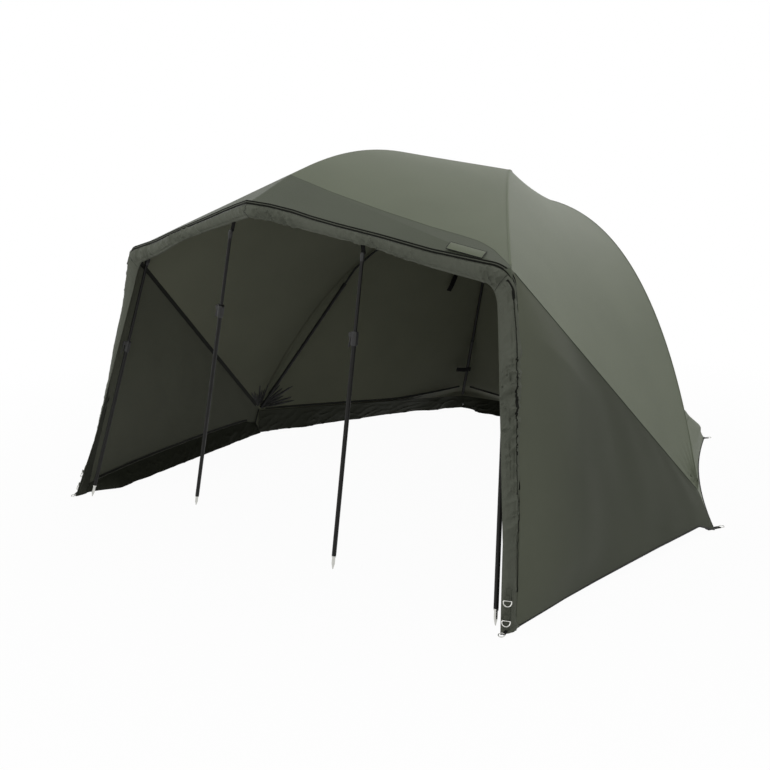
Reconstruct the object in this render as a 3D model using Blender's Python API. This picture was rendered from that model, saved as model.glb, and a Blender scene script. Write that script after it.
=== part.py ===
"""Fishing umbrella shelter: seven ribs on a slotted hub, a sewn canopy and four telescopic poles.

Lengths are in metres. X runs across the mouth, Y from the mouth to the back and Z up. The
drawing has its zero between the feet of the corner poles, and an empty then moves the whole
shelter so that its origin is in the middle of its ground rectangle.
"""

import math

import bmesh
import bpy
from mathutils import Matrix, Vector

# Clearances
GAP = 0.0003
SEAM_GAP = 0.0009
OVERRUN = 0.0040
WELD = 0.00002

# Hub, its wire and its cap
HUB_BACK = 1.8700
WIRE_HEIGHT = 1.2700
WIRE_CIRCLE = 0.0420
WIRE_RADIUS = 0.0022
HUB_RADIUS = 0.0580
HUB_TOP = 0.0150
HUB_BOTTOM = 0.0115
HUB_SLOT = 0.0104
HUB_SLOT_DEPTH = 0.0110
HUB_EDGE = 0.0025
CAP_RADIUS = 0.0560
CAP_RIM = 0.0020
CAP_RISE = 0.0110
CAP_BOSS_RADIUS = 0.0110
CAP_BOSS = 0.0050
CAP_STUD_RADIUS = 0.0052
CAP_STUD = 0.0160
CAP_SHOULDER_SHARES = ((0.60, 0.82), (0.88, 0.45))

# Tongues and the eyes that turn on the wire or on a pole's pin
TONGUE_THICK = 0.0088
TONGUE_LENGTH = 0.0620
EYE_RADIUS = 0.0075
WIRE_EYE = 0.0030
SOCKET_RADIUS = 0.0078
SOCKET_LENGTH = 0.0400
SOCKET_LAP_SHARE = 0.60
ROD_LAP_SHARE = 0.50

# Ribs and the tension sleeves of the side and rear ribs
ROD_RADIUS = 0.0050
RIB_DROP = 0.0160
ROOT_DROP = 0.0300
ROOT_BLEND = 0.3000
CENTRE_END_BACK = 0.0
CORNER_END_BACK = 0.0600
CORNER_EYE_DROP = 0.0345
CORNER_EYE_BACK = 0.0130
EAVE_END_BACK = 0.0120
SLEEVE_RADIUS = 0.0080
SLEEVE_WALL = 0.0016
SLEEVE_LAP = 0.1000
SLEEVE_TRAVEL = 0.0600
FERRULE_RADIUS = 0.0096
FERRULE_LENGTH = 0.0340
FERRULE_PLAY = 0.0009
END_CAP_RADIUS = 0.0086
END_CAP_LENGTH = 0.0240
SIDE_STRAIGHT_SHARE = 0.665
REAR_STRAIGHT_SHARE = 0.805

# Canopy: where the seams end
FABRIC = 0.0012
MOUTH_PEAK = (0.0, -0.0150, 1.2500)
CORNER = (0.9270, 0.2030, 1.0610)
SIDE_EAVE = (1.2170, 1.2190, 0.1490)
REAR_EAVE = (0.6720, 2.4650, 0.0950)
FRONT_PEG = (1.0670, -0.0550)
SIDE_PEG = (1.2840, 1.2300)
REAR_PEG = (0.7800, 2.6200)
VISOR_DEPTH = 0.2275
CANOPY_START = 0.0190
SADDLE = 0.0272
ROOF_SADDLE_SHARE = -0.220
SKIRT_CURVE = 0.0600
INSIDE = (0.0, 1.3000, 0.7000)

# Canopy: heights, shares of the run and sideways bows of each seam's inner knots
CENTRE_LIFTS = (1.4955, 1.5835)
CENTRE_SHARES = (0.437, 0.643)
CORNER_LIFTS = (1.5316, 1.3268)
CORNER_SHARES = (0.381, 0.676)
CORNER_BOW = -0.0372
SIDE_LIFTS = (1.2768, 1.2295)
SIDE_SHARES = (0.139, 0.615)
SIDE_BOW = 0.1485
REAR_LIFTS = (1.3104, 0.9704)
REAR_SHARES = (0.360, 0.433)

# Bands along the mouth and mud flaps along the ground
BAND_THICK = 0.0056
BAND_WIDTH = 0.0560
BAND_BACK = 0.0120
BAND_END = 0.0150
LEG_BAND_FOOT = 0.0640
LEG_BAND_HEAD = 0.0280
LEG_BAND_LAP = 0.0008
LEG_BAND_INNER = (-0.0500, -0.0300, -0.0600)
FLAP_THICK = 0.0030
FLAP_SEAM_HEIGHT = 0.0600
FLAP_REACH = 0.0500
FLAP_DROP = 0.0120
FLAP_INSET = 0.0012
EAVE_FLAP_INSET = 0.0024
BACK_FLAP_INSET = 0.0011
FLAP_END = 0.0750
FLAP_FOLD = 0.0080
FLAP_FOLD_LENGTH = 0.1900

# Poles
LOWER_RADIUS = 0.0080
UPPER_RADIUS = 0.0063
TUBE_WALL = 0.0012
UPPER_LAP = 0.1600
COLLAR_RADIUS = 0.0125
COLLAR_NECK = 0.0108
COLLAR_BELOW = 0.0360
COLLAR_ABOVE = 0.0120
COLLAR_EDGE = 0.0035
EAR_START = 0.0100
EAR_REACH = 0.0215
EAR_WIDTH = 0.0150
EAR_HEIGHT = 0.0150
EAR_SLOT = 0.0078
CAM_POCKET = 0.0062
CAM_POCKET_START = 0.0106
LEVER_PIN = 0.0020
LEVER_PIN_OUT = 0.0165
LEVER_CAM = 0.0048
LEVER_LENGTH = 0.0440
LEVER_THICK = 0.0030
LEVER_WIDTH = 0.0070
LEVER_FLARE = 0.0035
SPIKE_LENGTH = 0.0450
SPIKE_RADIUS = 0.0060
SPIKE_POINT = 0.0015
SPIKE_TAPER = 0.0200
SPIKE_FLANGE = 0.0078
SPIKE_FLANGE_THICK = 0.0050
SPIKE_SHANK = 0.0350
FOOT_CLEAR = 0.0004
HEAD_RADIUS = 0.0104
HEAD_NECK = 0.0075
HEAD_LENGTH = 0.0320
HEAD_NECK_LENGTH = 0.0110
HEAD_SHANK = 0.0300
HEAD_FLOOR = 0.0142
HEAD_PIN = 0.0026
HEAD_PIN_LENGTH = 0.0150
KNOB_RADIUS = 0.0080
KNOB_NECK = 0.0176
CORNER_COLLAR_SHARE = 0.640
STORM_COLLAR_SHARE = 0.750
CORNER_FOOT = (1.0200, 0.0, FOOT_CLEAR)
STORM_LEFT_FOOT = (-0.5700, 0.2000, FOOT_CLEAR)
STORM_LEFT_TOP = -0.1100
STORM_RIGHT_FOOT = (0.3450, 0.0280, FOOT_CLEAR)
STORM_RIGHT_TOP = 0.4300

# Webbing and rings at the front feet
STRAP_WIDTH = 0.0250
STRAP_LENGTH = 0.1350
STRAP_THICK = 0.0016
STRAP_START = 0.0250
STRAP_PLACE_SHARE = 0.450
RING_RADIUS = 0.0120
RING_WIRE = 0.0014
RING_HEIGHT = 0.1200

ROUND_SIDES = 12
HUB_SIDES = 36
GORE_ROWS = 10
GORE_COLUMNS = 6
SHARP_ANGLE = math.radians(40.0)


def clear_scene():
    for item in list(bpy.data.objects):
        bpy.data.objects.remove(item, do_unlink=True)


# Materials


def material(name, colour, roughness, metallic=0.0):
    made = bpy.data.materials.new(name)
    made.use_nodes = True
    shader = made.node_tree.nodes["Principled BSDF"]
    shader.inputs["Base Color"].default_value = (*colour, 1.0)
    shader.inputs["Roughness"].default_value = roughness
    shader.inputs["Metallic"].default_value = metallic
    return made


def finishes():
    return {
        "canopy": material("canopy_fabric", (0.155, 0.170, 0.125), 0.75),
        "side": material("side_fabric", (0.070, 0.078, 0.058), 0.80),
        "band": material("band_fabric", (0.100, 0.108, 0.084), 0.80),
        "rod": material("black_steel", (0.030, 0.030, 0.030), 0.35, 0.6),
        "plastic": material("black_plastic", (0.025, 0.025, 0.025), 0.50),
        "steel": material("bright_steel", (0.700, 0.700, 0.690), 0.25, 1.0),
    }


# Making and placing shapes


def new_object(name, mesh, finish):
    made = bpy.data.objects.new(name, mesh)
    bpy.context.scene.collection.objects.link(made)
    if not mesh.materials:
        mesh.materials.append(finish)
    return made


def object_from_bmesh(name, shell, finish):
    """Turns an edited mesh into an object with its faces outward and its round faces smooth."""
    bmesh.ops.remove_doubles(shell, verts=shell.verts, dist=WELD)
    bmesh.ops.recalc_face_normals(shell, faces=shell.faces)
    mesh = bpy.data.meshes.new(name)
    shell.to_mesh(mesh)
    shell.free()
    mesh.shade_smooth()
    mesh.set_sharp_from_angle(angle=SHARP_ANGLE)
    return new_object(name, mesh, finish)


def evaluated(made):
    """The mesh that an object's modifiers or bevel give."""
    graph = bpy.context.evaluated_depsgraph_get()
    graph.update()
    return bpy.data.meshes.new_from_object(made.evaluated_get(graph))


def solid_from(source, finish):
    """Replaces a curve or a mesh with modifiers by one plain closed mesh."""
    shell = bmesh.new()
    shell.from_mesh(evaluated(source))
    name = source.name
    bpy.data.objects.remove(source, do_unlink=True)
    return object_from_bmesh(name, shell, finish)


def joined(made, *others, operation="UNION"):
    """Unites the other shapes with the first, or cuts them from it."""
    finish = made.data.materials[0]
    for other in others:
        name = made.name
        change = made.modifiers.new("join", "BOOLEAN")
        change.operation = operation
        change.object = other
        change.solver = "EXACT"
        result = solid_from(made, finish)
        result.name = name
        bpy.data.objects.remove(other, do_unlink=True)
        made = result
    return made


def cut(made, *others):
    return joined(made, *others, operation="DIFFERENCE")


def placed(made, frame):
    """Moves a shape's mesh by a frame of the drawing."""
    made.data.transform(frame)
    made.data.update()
    return made


def frame_at(origin, x_axis, z_axis):
    """A frame at a point with its Z along z_axis and its X as near x_axis as that allows."""
    up = Vector(z_axis).normalized()
    side = up.cross(Vector(x_axis)).normalized()
    turn = Matrix((side.cross(up), side, up)).transposed()
    return Matrix.Translation(Vector(origin)) @ turn.to_4x4()


def turned(name, profile, finish, sides=ROUND_SIDES):
    """Turns an outline of (radius, height) points about Z. It starts on top and runs down its outer side."""
    points = [(radius, 0.0, height) for radius, height in profile]
    open_ended = profile[0][0] == 0.0 and profile[-1][0] == 0.0
    edges = [(k, k + 1) for k in range(len(points) - 1)]
    if not open_ended:
        edges.append((len(points) - 1, 0))
    mesh = bpy.data.meshes.new(name)
    mesh.from_pydata(points, edges, [])
    made = new_object(name, mesh, finish)
    screw = made.modifiers.new("turn", "SCREW")
    screw.axis = "Z"
    screw.angle = 2.0 * math.pi
    screw.steps = sides
    screw.render_steps = sides
    screw.use_merge_vertices = True
    screw.merge_threshold = WELD
    return solid_from(made, finish)


def pipe(name, inner, outer, low, high, finish):
    return turned(name, [(inner, high), (outer, high), (outer, low), (inner, low)], finish)


def block(name, low, high, finish):
    """A box between two corners."""
    low, high = Vector(low), Vector(high)
    shell = bmesh.new()
    bmesh.ops.create_cube(shell, size=1.0)
    bmesh.ops.scale(shell, vec=high - low, verts=shell.verts)
    bmesh.ops.translate(shell, vec=(low + high) / 2.0, verts=shell.verts)
    return object_from_bmesh(name, shell, finish)


def plate(name, outline, thick, finish):
    """A plate with an outline of (x, z) points and its thickness along Y."""
    shell = bmesh.new()
    face = shell.faces.new([shell.verts.new((x, -thick / 2.0, z)) for x, z in outline])
    grown = bmesh.ops.extrude_face_region(shell, geom=[face])
    risen = [item for item in grown["geom"] if isinstance(item, bmesh.types.BMVert)]
    bmesh.ops.translate(shell, vec=(0.0, thick, 0.0), verts=risen)
    return object_from_bmesh(name, shell, finish)


def cross_pin(name, radius, length, finish, x=0.0, z=0.0):
    """A cylinder along Y."""
    shell = bmesh.new()
    turn = Matrix.Translation((x, 0.0, z)) @ Matrix.Rotation(math.pi / 2.0, 4, "X")
    bmesh.ops.create_cone(
        shell, cap_ends=True, segments=ROUND_SIDES, radius1=radius, radius2=radius, depth=length, matrix=turn
    )
    return object_from_bmesh(name, shell, finish)


def rod(name, points, radius, finish, closed=False):
    """A round bar along points, closed into a ring if asked."""
    curve = bpy.data.curves.new(name, "CURVE")
    curve.dimensions = "3D"
    curve.bevel_depth = radius
    curve.bevel_resolution = 1
    curve.use_fill_caps = not closed
    line = curve.splines.new("POLY")
    line.use_cyclic_u = closed
    line.points.add(len(points) - 1)
    for spot, point in zip(line.points, points):
        spot.co = (*point, 1.0)
    source = bpy.data.objects.new(name, curve)
    bpy.context.scene.collection.objects.link(source)
    return solid_from(source, finish)


def cloth(name, rows, thick, finish):
    """A closed panel through rows of points, with half its thickness to each side."""
    shell = bmesh.new()
    grid = [[shell.verts.new(point) for point in row] for row in rows]
    for upper, lower in zip(grid, grid[1:]):
        for k in range(len(upper) - 1):
            shell.faces.new((upper[k], lower[k], lower[k + 1], upper[k + 1]))
    bmesh.ops.triangulate(shell, faces=shell.faces, quad_method="SHORT_EDGE")
    mesh = bpy.data.meshes.new(name)
    shell.to_mesh(mesh)
    shell.free()
    made = new_object(name, mesh, finish)
    shell_of = made.modifiers.new("thickness", "SOLIDIFY")
    shell_of.thickness = thick
    shell_of.offset = 0.0
    return solid_from(made, finish)


def pivot(name, spot, parent):
    """An empty on a joint's axis, for the pieces that move with it."""
    made = bpy.data.objects.new(name, None)
    bpy.context.scene.collection.objects.link(made)
    made.parent = parent
    made.location = Vector(spot) - drawing_place(parent)
    return made


def drawing_place(item):
    """Where an empty or a piece has its origin in the drawing."""
    spot = Vector((0.0, 0.0, 0.0))
    while item is not None:
        spot += item.location
        item = item.parent
    return spot


def hung(made, parent, spot=None):
    """Gives a piece its origin at a point, or at its parent's, and lets it move with its parent."""
    origin = drawing_place(parent) if spot is None else Vector(spot)
    made.data.transform(Matrix.Translation(-origin))
    made.parent = parent
    made.location = origin - drawing_place(parent)
    return made


# Small geometry


def mix(a, b, share):
    return a * (1.0 - share) + b * share


def mirrored(point, sign):
    """A point of the right half, or its twin on the left."""
    x, y, *height = point
    return Vector((x * sign, y, *(height or (FABRIC / 2.0,))))


def toward(start, goal, distance):
    return start + (goal - start).normalized() * distance


def bulge(share):
    """Zero at both ends and one in the middle."""
    return 4.0 * share * (1.0 - share)


class Seam:
    """A canopy seam from the hub to its end: a cubic curve, with its rib underneath."""

    def __init__(self, end, lifts, shares, bow=0.0, sign=1.0):
        self.end = mirrored(end, sign)
        flat = Vector((self.end.x, self.end.y - HUB_BACK, 0.0))
        self.run = flat.normalized()
        self.axis = Vector((-self.run.y, self.run.x, 0.0))
        self.pin = Vector((0.0, HUB_BACK, WIRE_HEIGHT)) + self.run * WIRE_CIRCLE
        start = self.pin + Vector((0.0, 0.0, ROOT_DROP))
        near, far = (start + flat * share + self.axis * bow * sign for share in shares)
        near.z, far.z = lifts
        self.knots = (start, near, far, self.end)
        self.length = self.length_to(1.0)

    def at(self, t):
        s = 1.0 - t
        a, b, c, d = self.knots
        return a * s ** 3 + b * 3.0 * s * s * t + c * 3.0 * s * t * t + d * t ** 3

    def tangent(self, t):
        s = 1.0 - t
        a, b, c, d = self.knots
        return ((b - a) * s * s + (c - b) * 2.0 * s * t + (d - c) * t * t).normalized()

    def inward(self, t):
        """The direction square to the seam that points to the middle of the space inside."""
        along = self.tangent(t)
        inside = Vector(INSIDE) - self.at(t)
        return (inside - along * inside.dot(along)).normalized()

    def length_to(self, t, steps=40):
        spots = [self.at(t * k / steps) for k in range(steps + 1)]
        return sum((b - a).length for a, b in zip(spots, spots[1:]))

    def share_where(self, passed):
        """The curve's parameter where a test of the parameter first holds."""
        low, high = 0.0, 1.0
        for _ in range(30):
            middle = (low + high) / 2.0
            low, high = (low, middle) if passed(middle) else (middle, high)
        return high

    def share_at(self, length):
        return self.share_where(lambda t: self.length_to(t) >= length)

    def rib(self, t):
        """A point of the rib's own line, which drops from the canopy to the hub's wire."""
        fade = max(0.0, 1.0 - self.length_to(t) / ROOT_BLEND)
        drop = RIB_DROP + (ROOT_DROP - RIB_DROP) * fade * fade
        return self.at(t) + self.inward(t) * drop


SIDES = (("left", -1.0), ("right", 1.0))


def canopy_seams():
    found = {"centre": Seam(MOUTH_PEAK, CENTRE_LIFTS, CENTRE_SHARES)}
    for word, sign in SIDES:
        found["corner_" + word] = Seam(CORNER, CORNER_LIFTS, CORNER_SHARES, CORNER_BOW, sign)
        found["side_" + word] = Seam(SIDE_EAVE, SIDE_LIFTS, SIDE_SHARES, SIDE_BOW, sign)
        found["rear_" + word] = Seam(REAR_EAVE, REAR_LIFTS, REAR_SHARES, 0.0, sign)
    return found


def visor_share(centre):
    """Where the centre seam meets the fold between the roof and the visor."""
    return centre.share_where(lambda t: centre.at(t).y <= MOUTH_PEAK[1] + VISOR_DEPTH)


# Hub


def hub_wire(paint):
    """The steel ring that runs round the hub and through every tongue's eye."""
    return turned("hub_wire", circle_at(WIRE_CIRCLE, WIRE_RADIUS), paint["steel"], HUB_SIDES)


def circle_at(centre, radius, count=6):
    """A closed round outline of (radius, height) points, down its outer side."""
    angles = [math.pi / 2.0 - 2.0 * math.pi * k / count for k in range(count)]
    return [(centre + radius * math.cos(angle), radius * math.sin(angle)) for angle in angles]


def hub_body(seams, paint):
    bore = CAP_STUD_RADIUS + GAP
    body = turned(
        "hub_body",
        [
            (bore, HUB_TOP), (HUB_RADIUS - HUB_EDGE, HUB_TOP), (HUB_RADIUS, HUB_TOP - HUB_EDGE),
            (HUB_RADIUS, HUB_EDGE - HUB_BOTTOM), (HUB_RADIUS - HUB_EDGE, -HUB_BOTTOM), (bore, -HUB_BOTTOM),
        ],
        paint["plastic"],
        HUB_SIDES,
    )
    centre = Vector((0.0, HUB_BACK, WIRE_HEIGHT))
    for seam in seams.values():
        slot = block(
            "slot",
            (-HUB_SLOT_DEPTH, -HUB_SLOT / 2.0, -HUB_BOTTOM - OVERRUN),
            (HUB_RADIUS, HUB_SLOT / 2.0, HUB_TOP + OVERRUN),
            paint["plastic"],
        )
        body = cut(body, placed(slot, frame_at(seam.pin - centre, seam.run, (0.0, 0.0, 1.0))))
    channel = turned("channel", circle_at(WIRE_CIRCLE, WIRE_RADIUS + GAP), paint["plastic"], HUB_SIDES)
    return cut(body, channel)


def hub_cap(paint):
    under = HUB_TOP + GAP
    (inner, inner_rise), (outer, outer_rise) = CAP_SHOULDER_SHARES
    return turned(
        "hub_cap",
        [
            (0.0, under + CAP_RISE + CAP_BOSS), (CAP_BOSS_RADIUS, under + CAP_RISE + CAP_BOSS),
            (CAP_BOSS_RADIUS, under + CAP_RISE), (CAP_RADIUS * inner, under + CAP_RISE * inner_rise),
            (CAP_RADIUS * outer, under + CAP_RISE * outer_rise), (CAP_RADIUS, under + CAP_RIM),
            (CAP_RADIUS, under), (CAP_STUD_RADIUS, under), (CAP_STUD_RADIUS, under - CAP_STUD),
            (0.0, under - CAP_STUD),
        ],
        paint["plastic"],
        2 * ROUND_SIDES,
    )


def hub(seams, shelter, paint):
    stand = Matrix.Translation((0.0, HUB_BACK, WIRE_HEIGHT))
    for made in (hub_body(seams, paint), hub_wire(paint), hub_cap(paint)):
        hung(placed(made, stand), shelter)


# Ribs


def tongue(length, eye, paint):
    """A flat tongue along X with a round end about its eye at the origin."""
    steps = ROUND_SIDES // 2
    angles = [math.pi / 2.0 + math.pi * k / steps for k in range(steps + 1)]
    outline = [(EYE_RADIUS * math.cos(angle), EYE_RADIUS * math.sin(angle)) for angle in angles]
    outline += [(length, -EYE_RADIUS), (length, EYE_RADIUS)]
    blade = plate("tongue", outline, TONGUE_THICK, paint["plastic"])
    return cut(blade, cross_pin("eye", eye, TONGUE_THICK + OVERRUN, paint["plastic"]))


def root_tongue(seam, paint):
    """A rib's tongue with its socket, and the points where its rod starts."""
    lap = SOCKET_LENGTH * SOCKET_LAP_SHARE
    reach = TONGUE_LENGTH - lap + SOCKET_LENGTH
    away = seam.rib(seam.share_at(reach)) - seam.pin
    aim = (seam.run * away.dot(seam.run) + Vector((0.0, 0.0, away.z))).normalized()
    made = tongue(TONGUE_LENGTH, WIRE_EYE, paint)
    socket = turned(
        "socket",
        [(0.0, SOCKET_LENGTH), (SOCKET_RADIUS, SOCKET_LENGTH), (SOCKET_RADIUS, 0.0), (0.0, 0.0)],
        paint["plastic"],
    )
    seat = frame_at((TONGUE_LENGTH - lap, 0.0, 0.0), (0.0, 0.0, 1.0), (1.0, 0.0, 0.0))
    made = joined(made, placed(socket, seat))
    placed(made, frame_at(seam.pin, aim, Vector((0.0, 0.0, 1.0)) - aim * aim.z))
    return made, [seam.pin + aim * (reach - SOCKET_LENGTH * ROD_LAP_SHARE), seam.pin + aim * reach], reach


def plain_rib(name, seam, end_back, paint, count=14):
    """A rib with one bent rod, from the wire to a distance before the seam's end."""
    made, points, reach = root_tongue(seam, paint)
    first, last = seam.share_at(reach), seam.share_at(seam.length - end_back)
    points += [seam.rib(mix(first, last, k / count)) for k in range(1, count + 1)]
    made = joined(made, rod("rod", points, ROD_RADIUS, paint["rod"]))
    made.name = name
    return made, points


def sleeved_rib(name, seam, straight_share, paint, count=10):
    """A rib whose rod ends inside a tension sleeve. Returns it and the sleeve's two ends."""
    made, points, reach = root_tongue(seam, paint)
    foot = seam.rib(seam.share_at(seam.length - EAVE_END_BACK))
    first = seam.share_at(reach)
    points += [seam.rib(mix(first, straight_share, k / count)) for k in range(1, count + 1)]
    knee = toward(points[-1], foot, SLEEVE_TRAVEL + FERRULE_LENGTH)
    points.append(toward(knee, foot, SLEEVE_LAP))
    made = joined(made, rod("rod", points, ROD_RADIUS, paint["rod"]))
    made.name = name
    return made, (knee, foot)


def tension_sleeve(name, knee, foot, paint):
    """The tube that slides on a rib's straight end, with its ferrule and its closed cap."""
    length = (foot - knee).length
    inside = SLEEVE_RADIUS - SLEEVE_WALL
    neck = ROD_RADIUS + FERRULE_PLAY
    cap = length - END_CAP_LENGTH
    made = turned(
        name,
        [
            (0.0, cap), (inside, cap), (inside, FERRULE_LENGTH), (neck, FERRULE_LENGTH), (neck, 0.0),
            (FERRULE_RADIUS, 0.0), (FERRULE_RADIUS, FERRULE_LENGTH), (SLEEVE_RADIUS, FERRULE_LENGTH),
            (SLEEVE_RADIUS, cap), (END_CAP_RADIUS, cap), (END_CAP_RADIUS, length), (0.0, length),
        ],
        paint["rod"],
    )
    return placed(made, frame_at(knee, (0.0, 0.0, 1.0), foot - knee))


def corner_rib(name, seam, paint):
    """A corner rib with a second eye, which hangs under its end for the corner pole."""
    made, points = plain_rib(name, seam, CORNER_END_BACK, paint)
    end = points[-1]
    eye = end - seam.run * CORNER_EYE_BACK - Vector((0.0, 0.0, CORNER_EYE_DROP))
    link = tongue((end - eye).length, HEAD_PIN + GAP, paint)
    placed(link, frame_at(eye, end - eye, seam.axis.cross(eye - end)))
    made = joined(made, link)
    made.name = name
    return made, eye


def ribs(seams, shelter, paint):
    """All seven ribs with their sleeves. Returns each fold's empty and the corner eyes."""
    folds, eyes = {}, {}
    for name, seam in seams.items():
        fold = folds[name] = pivot("fold_" + name, seam.pin, shelter)
        key = "rib_" + name
        if name.startswith("corner"):
            made, eyes[name] = corner_rib(key, seam, paint)
        elif name == "centre":
            made, _ = plain_rib(key, seam, CENTRE_END_BACK, paint)
        else:
            share = SIDE_STRAIGHT_SHARE if name.startswith("side") else REAR_STRAIGHT_SHARE
            made, (knee, foot) = sleeved_rib(key, seam, share, paint)
            hung(tension_sleeve("sleeve_" + name, knee, foot, paint), fold, knee)
        hung(made, fold)
    return folds, eyes


# Poles


def spike(name, paint):
    """A bright foot spike whose shank sits in the lower tube."""
    flange_top = SPIKE_LENGTH + SPIKE_FLANGE_THICK
    shank = LOWER_RADIUS - TUBE_WALL - GAP
    return turned(
        name,
        [
            (0.0, flange_top + SPIKE_SHANK), (shank, flange_top + SPIKE_SHANK), (shank, flange_top),
            (SPIKE_FLANGE, flange_top), (SPIKE_FLANGE, SPIKE_LENGTH), (SPIKE_RADIUS, SPIKE_LENGTH),
            (SPIKE_RADIUS, SPIKE_TAPER), (SPIKE_POINT, 0.0), (0.0, 0.0),
        ],
        paint["steel"],
    )


def collar(name, paint):
    """The cam-lock collar round the lower tube's end, at the origin, with two ears for the lever."""
    wide, narrow = LOWER_RADIUS + GAP, UPPER_RADIUS + GAP
    shell = turned(
        name,
        [
            (narrow, COLLAR_ABOVE), (COLLAR_NECK, COLLAR_ABOVE), (COLLAR_RADIUS, COLLAR_ABOVE - COLLAR_EDGE),
            (COLLAR_RADIUS, COLLAR_EDGE - COLLAR_BELOW), (COLLAR_NECK, -COLLAR_BELOW), (wide, -COLLAR_BELOW),
            (wide, GAP), (narrow, GAP),
        ],
        paint["plastic"],
    )
    half, high = EAR_WIDTH / 2.0, EAR_HEIGHT / 2.0
    ears = block("ears", (EAR_START, -half, -high), (EAR_REACH, half, high), paint["plastic"])
    slot, pocket = (
        block(
            "slot",
            (CAM_POCKET_START, -EAR_SLOT / 2.0, -height),
            (EAR_REACH + OVERRUN, EAR_SLOT / 2.0, height),
            paint["plastic"],
        )
        for height in (EAR_HEIGHT, CAM_POCKET)
    )
    hole = cross_pin("hole", LEVER_PIN + GAP, EAR_WIDTH + OVERRUN, paint["plastic"], LEVER_PIN_OUT)
    made = cut(joined(shell, cut(ears, slot)), pocket, hole)
    made.name = name
    return made


def lever(name, paint):
    """The cam lever, closed along the pole, with its pin at the origin."""
    tip = LEVER_FLARE + LEVER_THICK
    outline = [
        (-LEVER_CAM / 2.0, LEVER_CAM), (LEVER_CAM / 2.0, LEVER_CAM), (LEVER_CAM, LEVER_CAM / 2.0),
        (LEVER_CAM, -LEVER_CAM), (LEVER_THICK, -LEVER_LENGTH / 2.0), (tip, -LEVER_LENGTH),
        (LEVER_FLARE, -LEVER_LENGTH), (0.0, -LEVER_LENGTH / 2.0), (-LEVER_CAM / 2.0, -LEVER_CAM),
    ]
    arm = plate(name, outline[::-1], LEVER_WIDTH, paint["plastic"])
    made = joined(arm, cross_pin("pin", LEVER_PIN, EAR_WIDTH, paint["plastic"]))
    made.name = name
    return made


def clevis(name, length, paint):
    """A corner pole's head: a fork whose pin carries the corner rib's eye."""
    low = length - EYE_RADIUS - HEAD_LENGTH
    plug = UPPER_RADIUS - TUBE_WALL - GAP
    head = turned(
        name,
        [
            (0.0, length + EYE_RADIUS),
            (HEAD_RADIUS, length + EYE_RADIUS),
            (HEAD_RADIUS, low + HEAD_NECK_LENGTH),
            (HEAD_NECK, low + GAP), (plug, low + GAP), (plug, low - HEAD_SHANK), (0.0, low - HEAD_SHANK),
        ],
        paint["plastic"],
    )
    notch = block(
        "notch",
        (-HEAD_RADIUS - OVERRUN, -HUB_SLOT / 2.0, length - HEAD_FLOOR),
        (HEAD_RADIUS + OVERRUN, HUB_SLOT / 2.0, length + EYE_RADIUS + OVERRUN),
        paint["plastic"],
    )
    pin = cross_pin("pin", HEAD_PIN, HEAD_PIN_LENGTH, paint["plastic"], 0.0, length)
    made = joined(cut(head, notch), pin)
    made.name = name
    return made


def knob(name, length, paint):
    """A storm pole's head: a round knob that pushes up into the front band."""
    low = length - HEAD_LENGTH
    plug = UPPER_RADIUS - TUBE_WALL - GAP
    steps = 4
    angles = [math.pi / 2.0 * k / steps for k in range(steps + 1)]
    dome = [
        (KNOB_RADIUS * math.sin(angle), length - KNOB_RADIUS * (1.0 - math.cos(angle)))
        for angle in angles
    ]
    return turned(
        name,
        dome + [
            (KNOB_RADIUS, length - KNOB_NECK), (HEAD_NECK, low + GAP), (plug, low + GAP),
            (plug, low - HEAD_SHANK), (0.0, low - HEAD_SHANK),
        ],
        paint["plastic"],
    )


def pole(name, foot, top, collar_share, aside, head, parent, paint):
    """A telescopic pole between two points, with its lever on the side that aside names."""
    foot, top = Vector(foot), Vector(top)
    length = (top - foot).length
    frame = frame_at(foot, aside, top - foot)
    joint = length * collar_share
    seat = SPIKE_LENGTH + SPIKE_FLANGE_THICK + GAP
    head_made, head_low, turn_height = head(name + "_head", length, paint)
    bore = UPPER_RADIUS - TUBE_WALL
    upper = pipe(name + "_upper", bore, UPPER_RADIUS, joint - UPPER_LAP, head_low, paint["rod"])
    lower = pipe(name + "_lower", LOWER_RADIUS - TUBE_WALL, LOWER_RADIUS, seat, joint, paint["rod"])
    at_joint = frame @ Matrix.Translation((0.0, 0.0, joint))
    at_lever = at_joint @ Matrix.Translation((LEVER_PIN_OUT, 0.0, 0.0))
    swivel = pivot("swivel_" + name, frame @ Vector((0.0, 0.0, turn_height)), parent)
    for made in (head_made, upper):
        hung(placed(made, frame), swivel)
    slide = pivot("slide_" + name, at_joint.translation, swivel)
    for made in (lower, spike(name + "_spike", paint)):
        hung(placed(made, frame), slide)
    hung(placed(collar(name + "_collar", paint), at_joint), slide)
    hung(placed(lever(name + "_lever", paint), at_lever), slide, at_lever.translation)
    return swivel


def corner_head(name, length, paint):
    """The fork, its lower end and the height of its pin."""
    return clevis(name, length, paint), length - EYE_RADIUS - HEAD_LENGTH, length


def storm_head(name, length, paint):
    """The knob, its lower end and the height of its centre."""
    return knob(name, length, paint), length - HEAD_LENGTH, length - KNOB_RADIUS


def storm_top(x, foot):
    """The top of a storm pole whose round knob touches the front band's lower edge."""
    peak, corner = Vector(MOUTH_PEAK), mirrored(CORNER, math.copysign(1.0, x))
    slope = (peak.z - corner.z) / CORNER[0]
    under_band = BAND_THICK / 2.0 * BAND_BACK / BAND_WIDTH
    below = GAP + under_band + KNOB_RADIUS * math.hypot(1.0, slope)
    edge = mix(peak, corner, abs(x) / CORNER[0]) + band_gap() + band_drop()
    centre = edge - Vector((0.0, 0.0, below))
    return toward(centre, Vector(foot), -KNOB_RADIUS)


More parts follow.
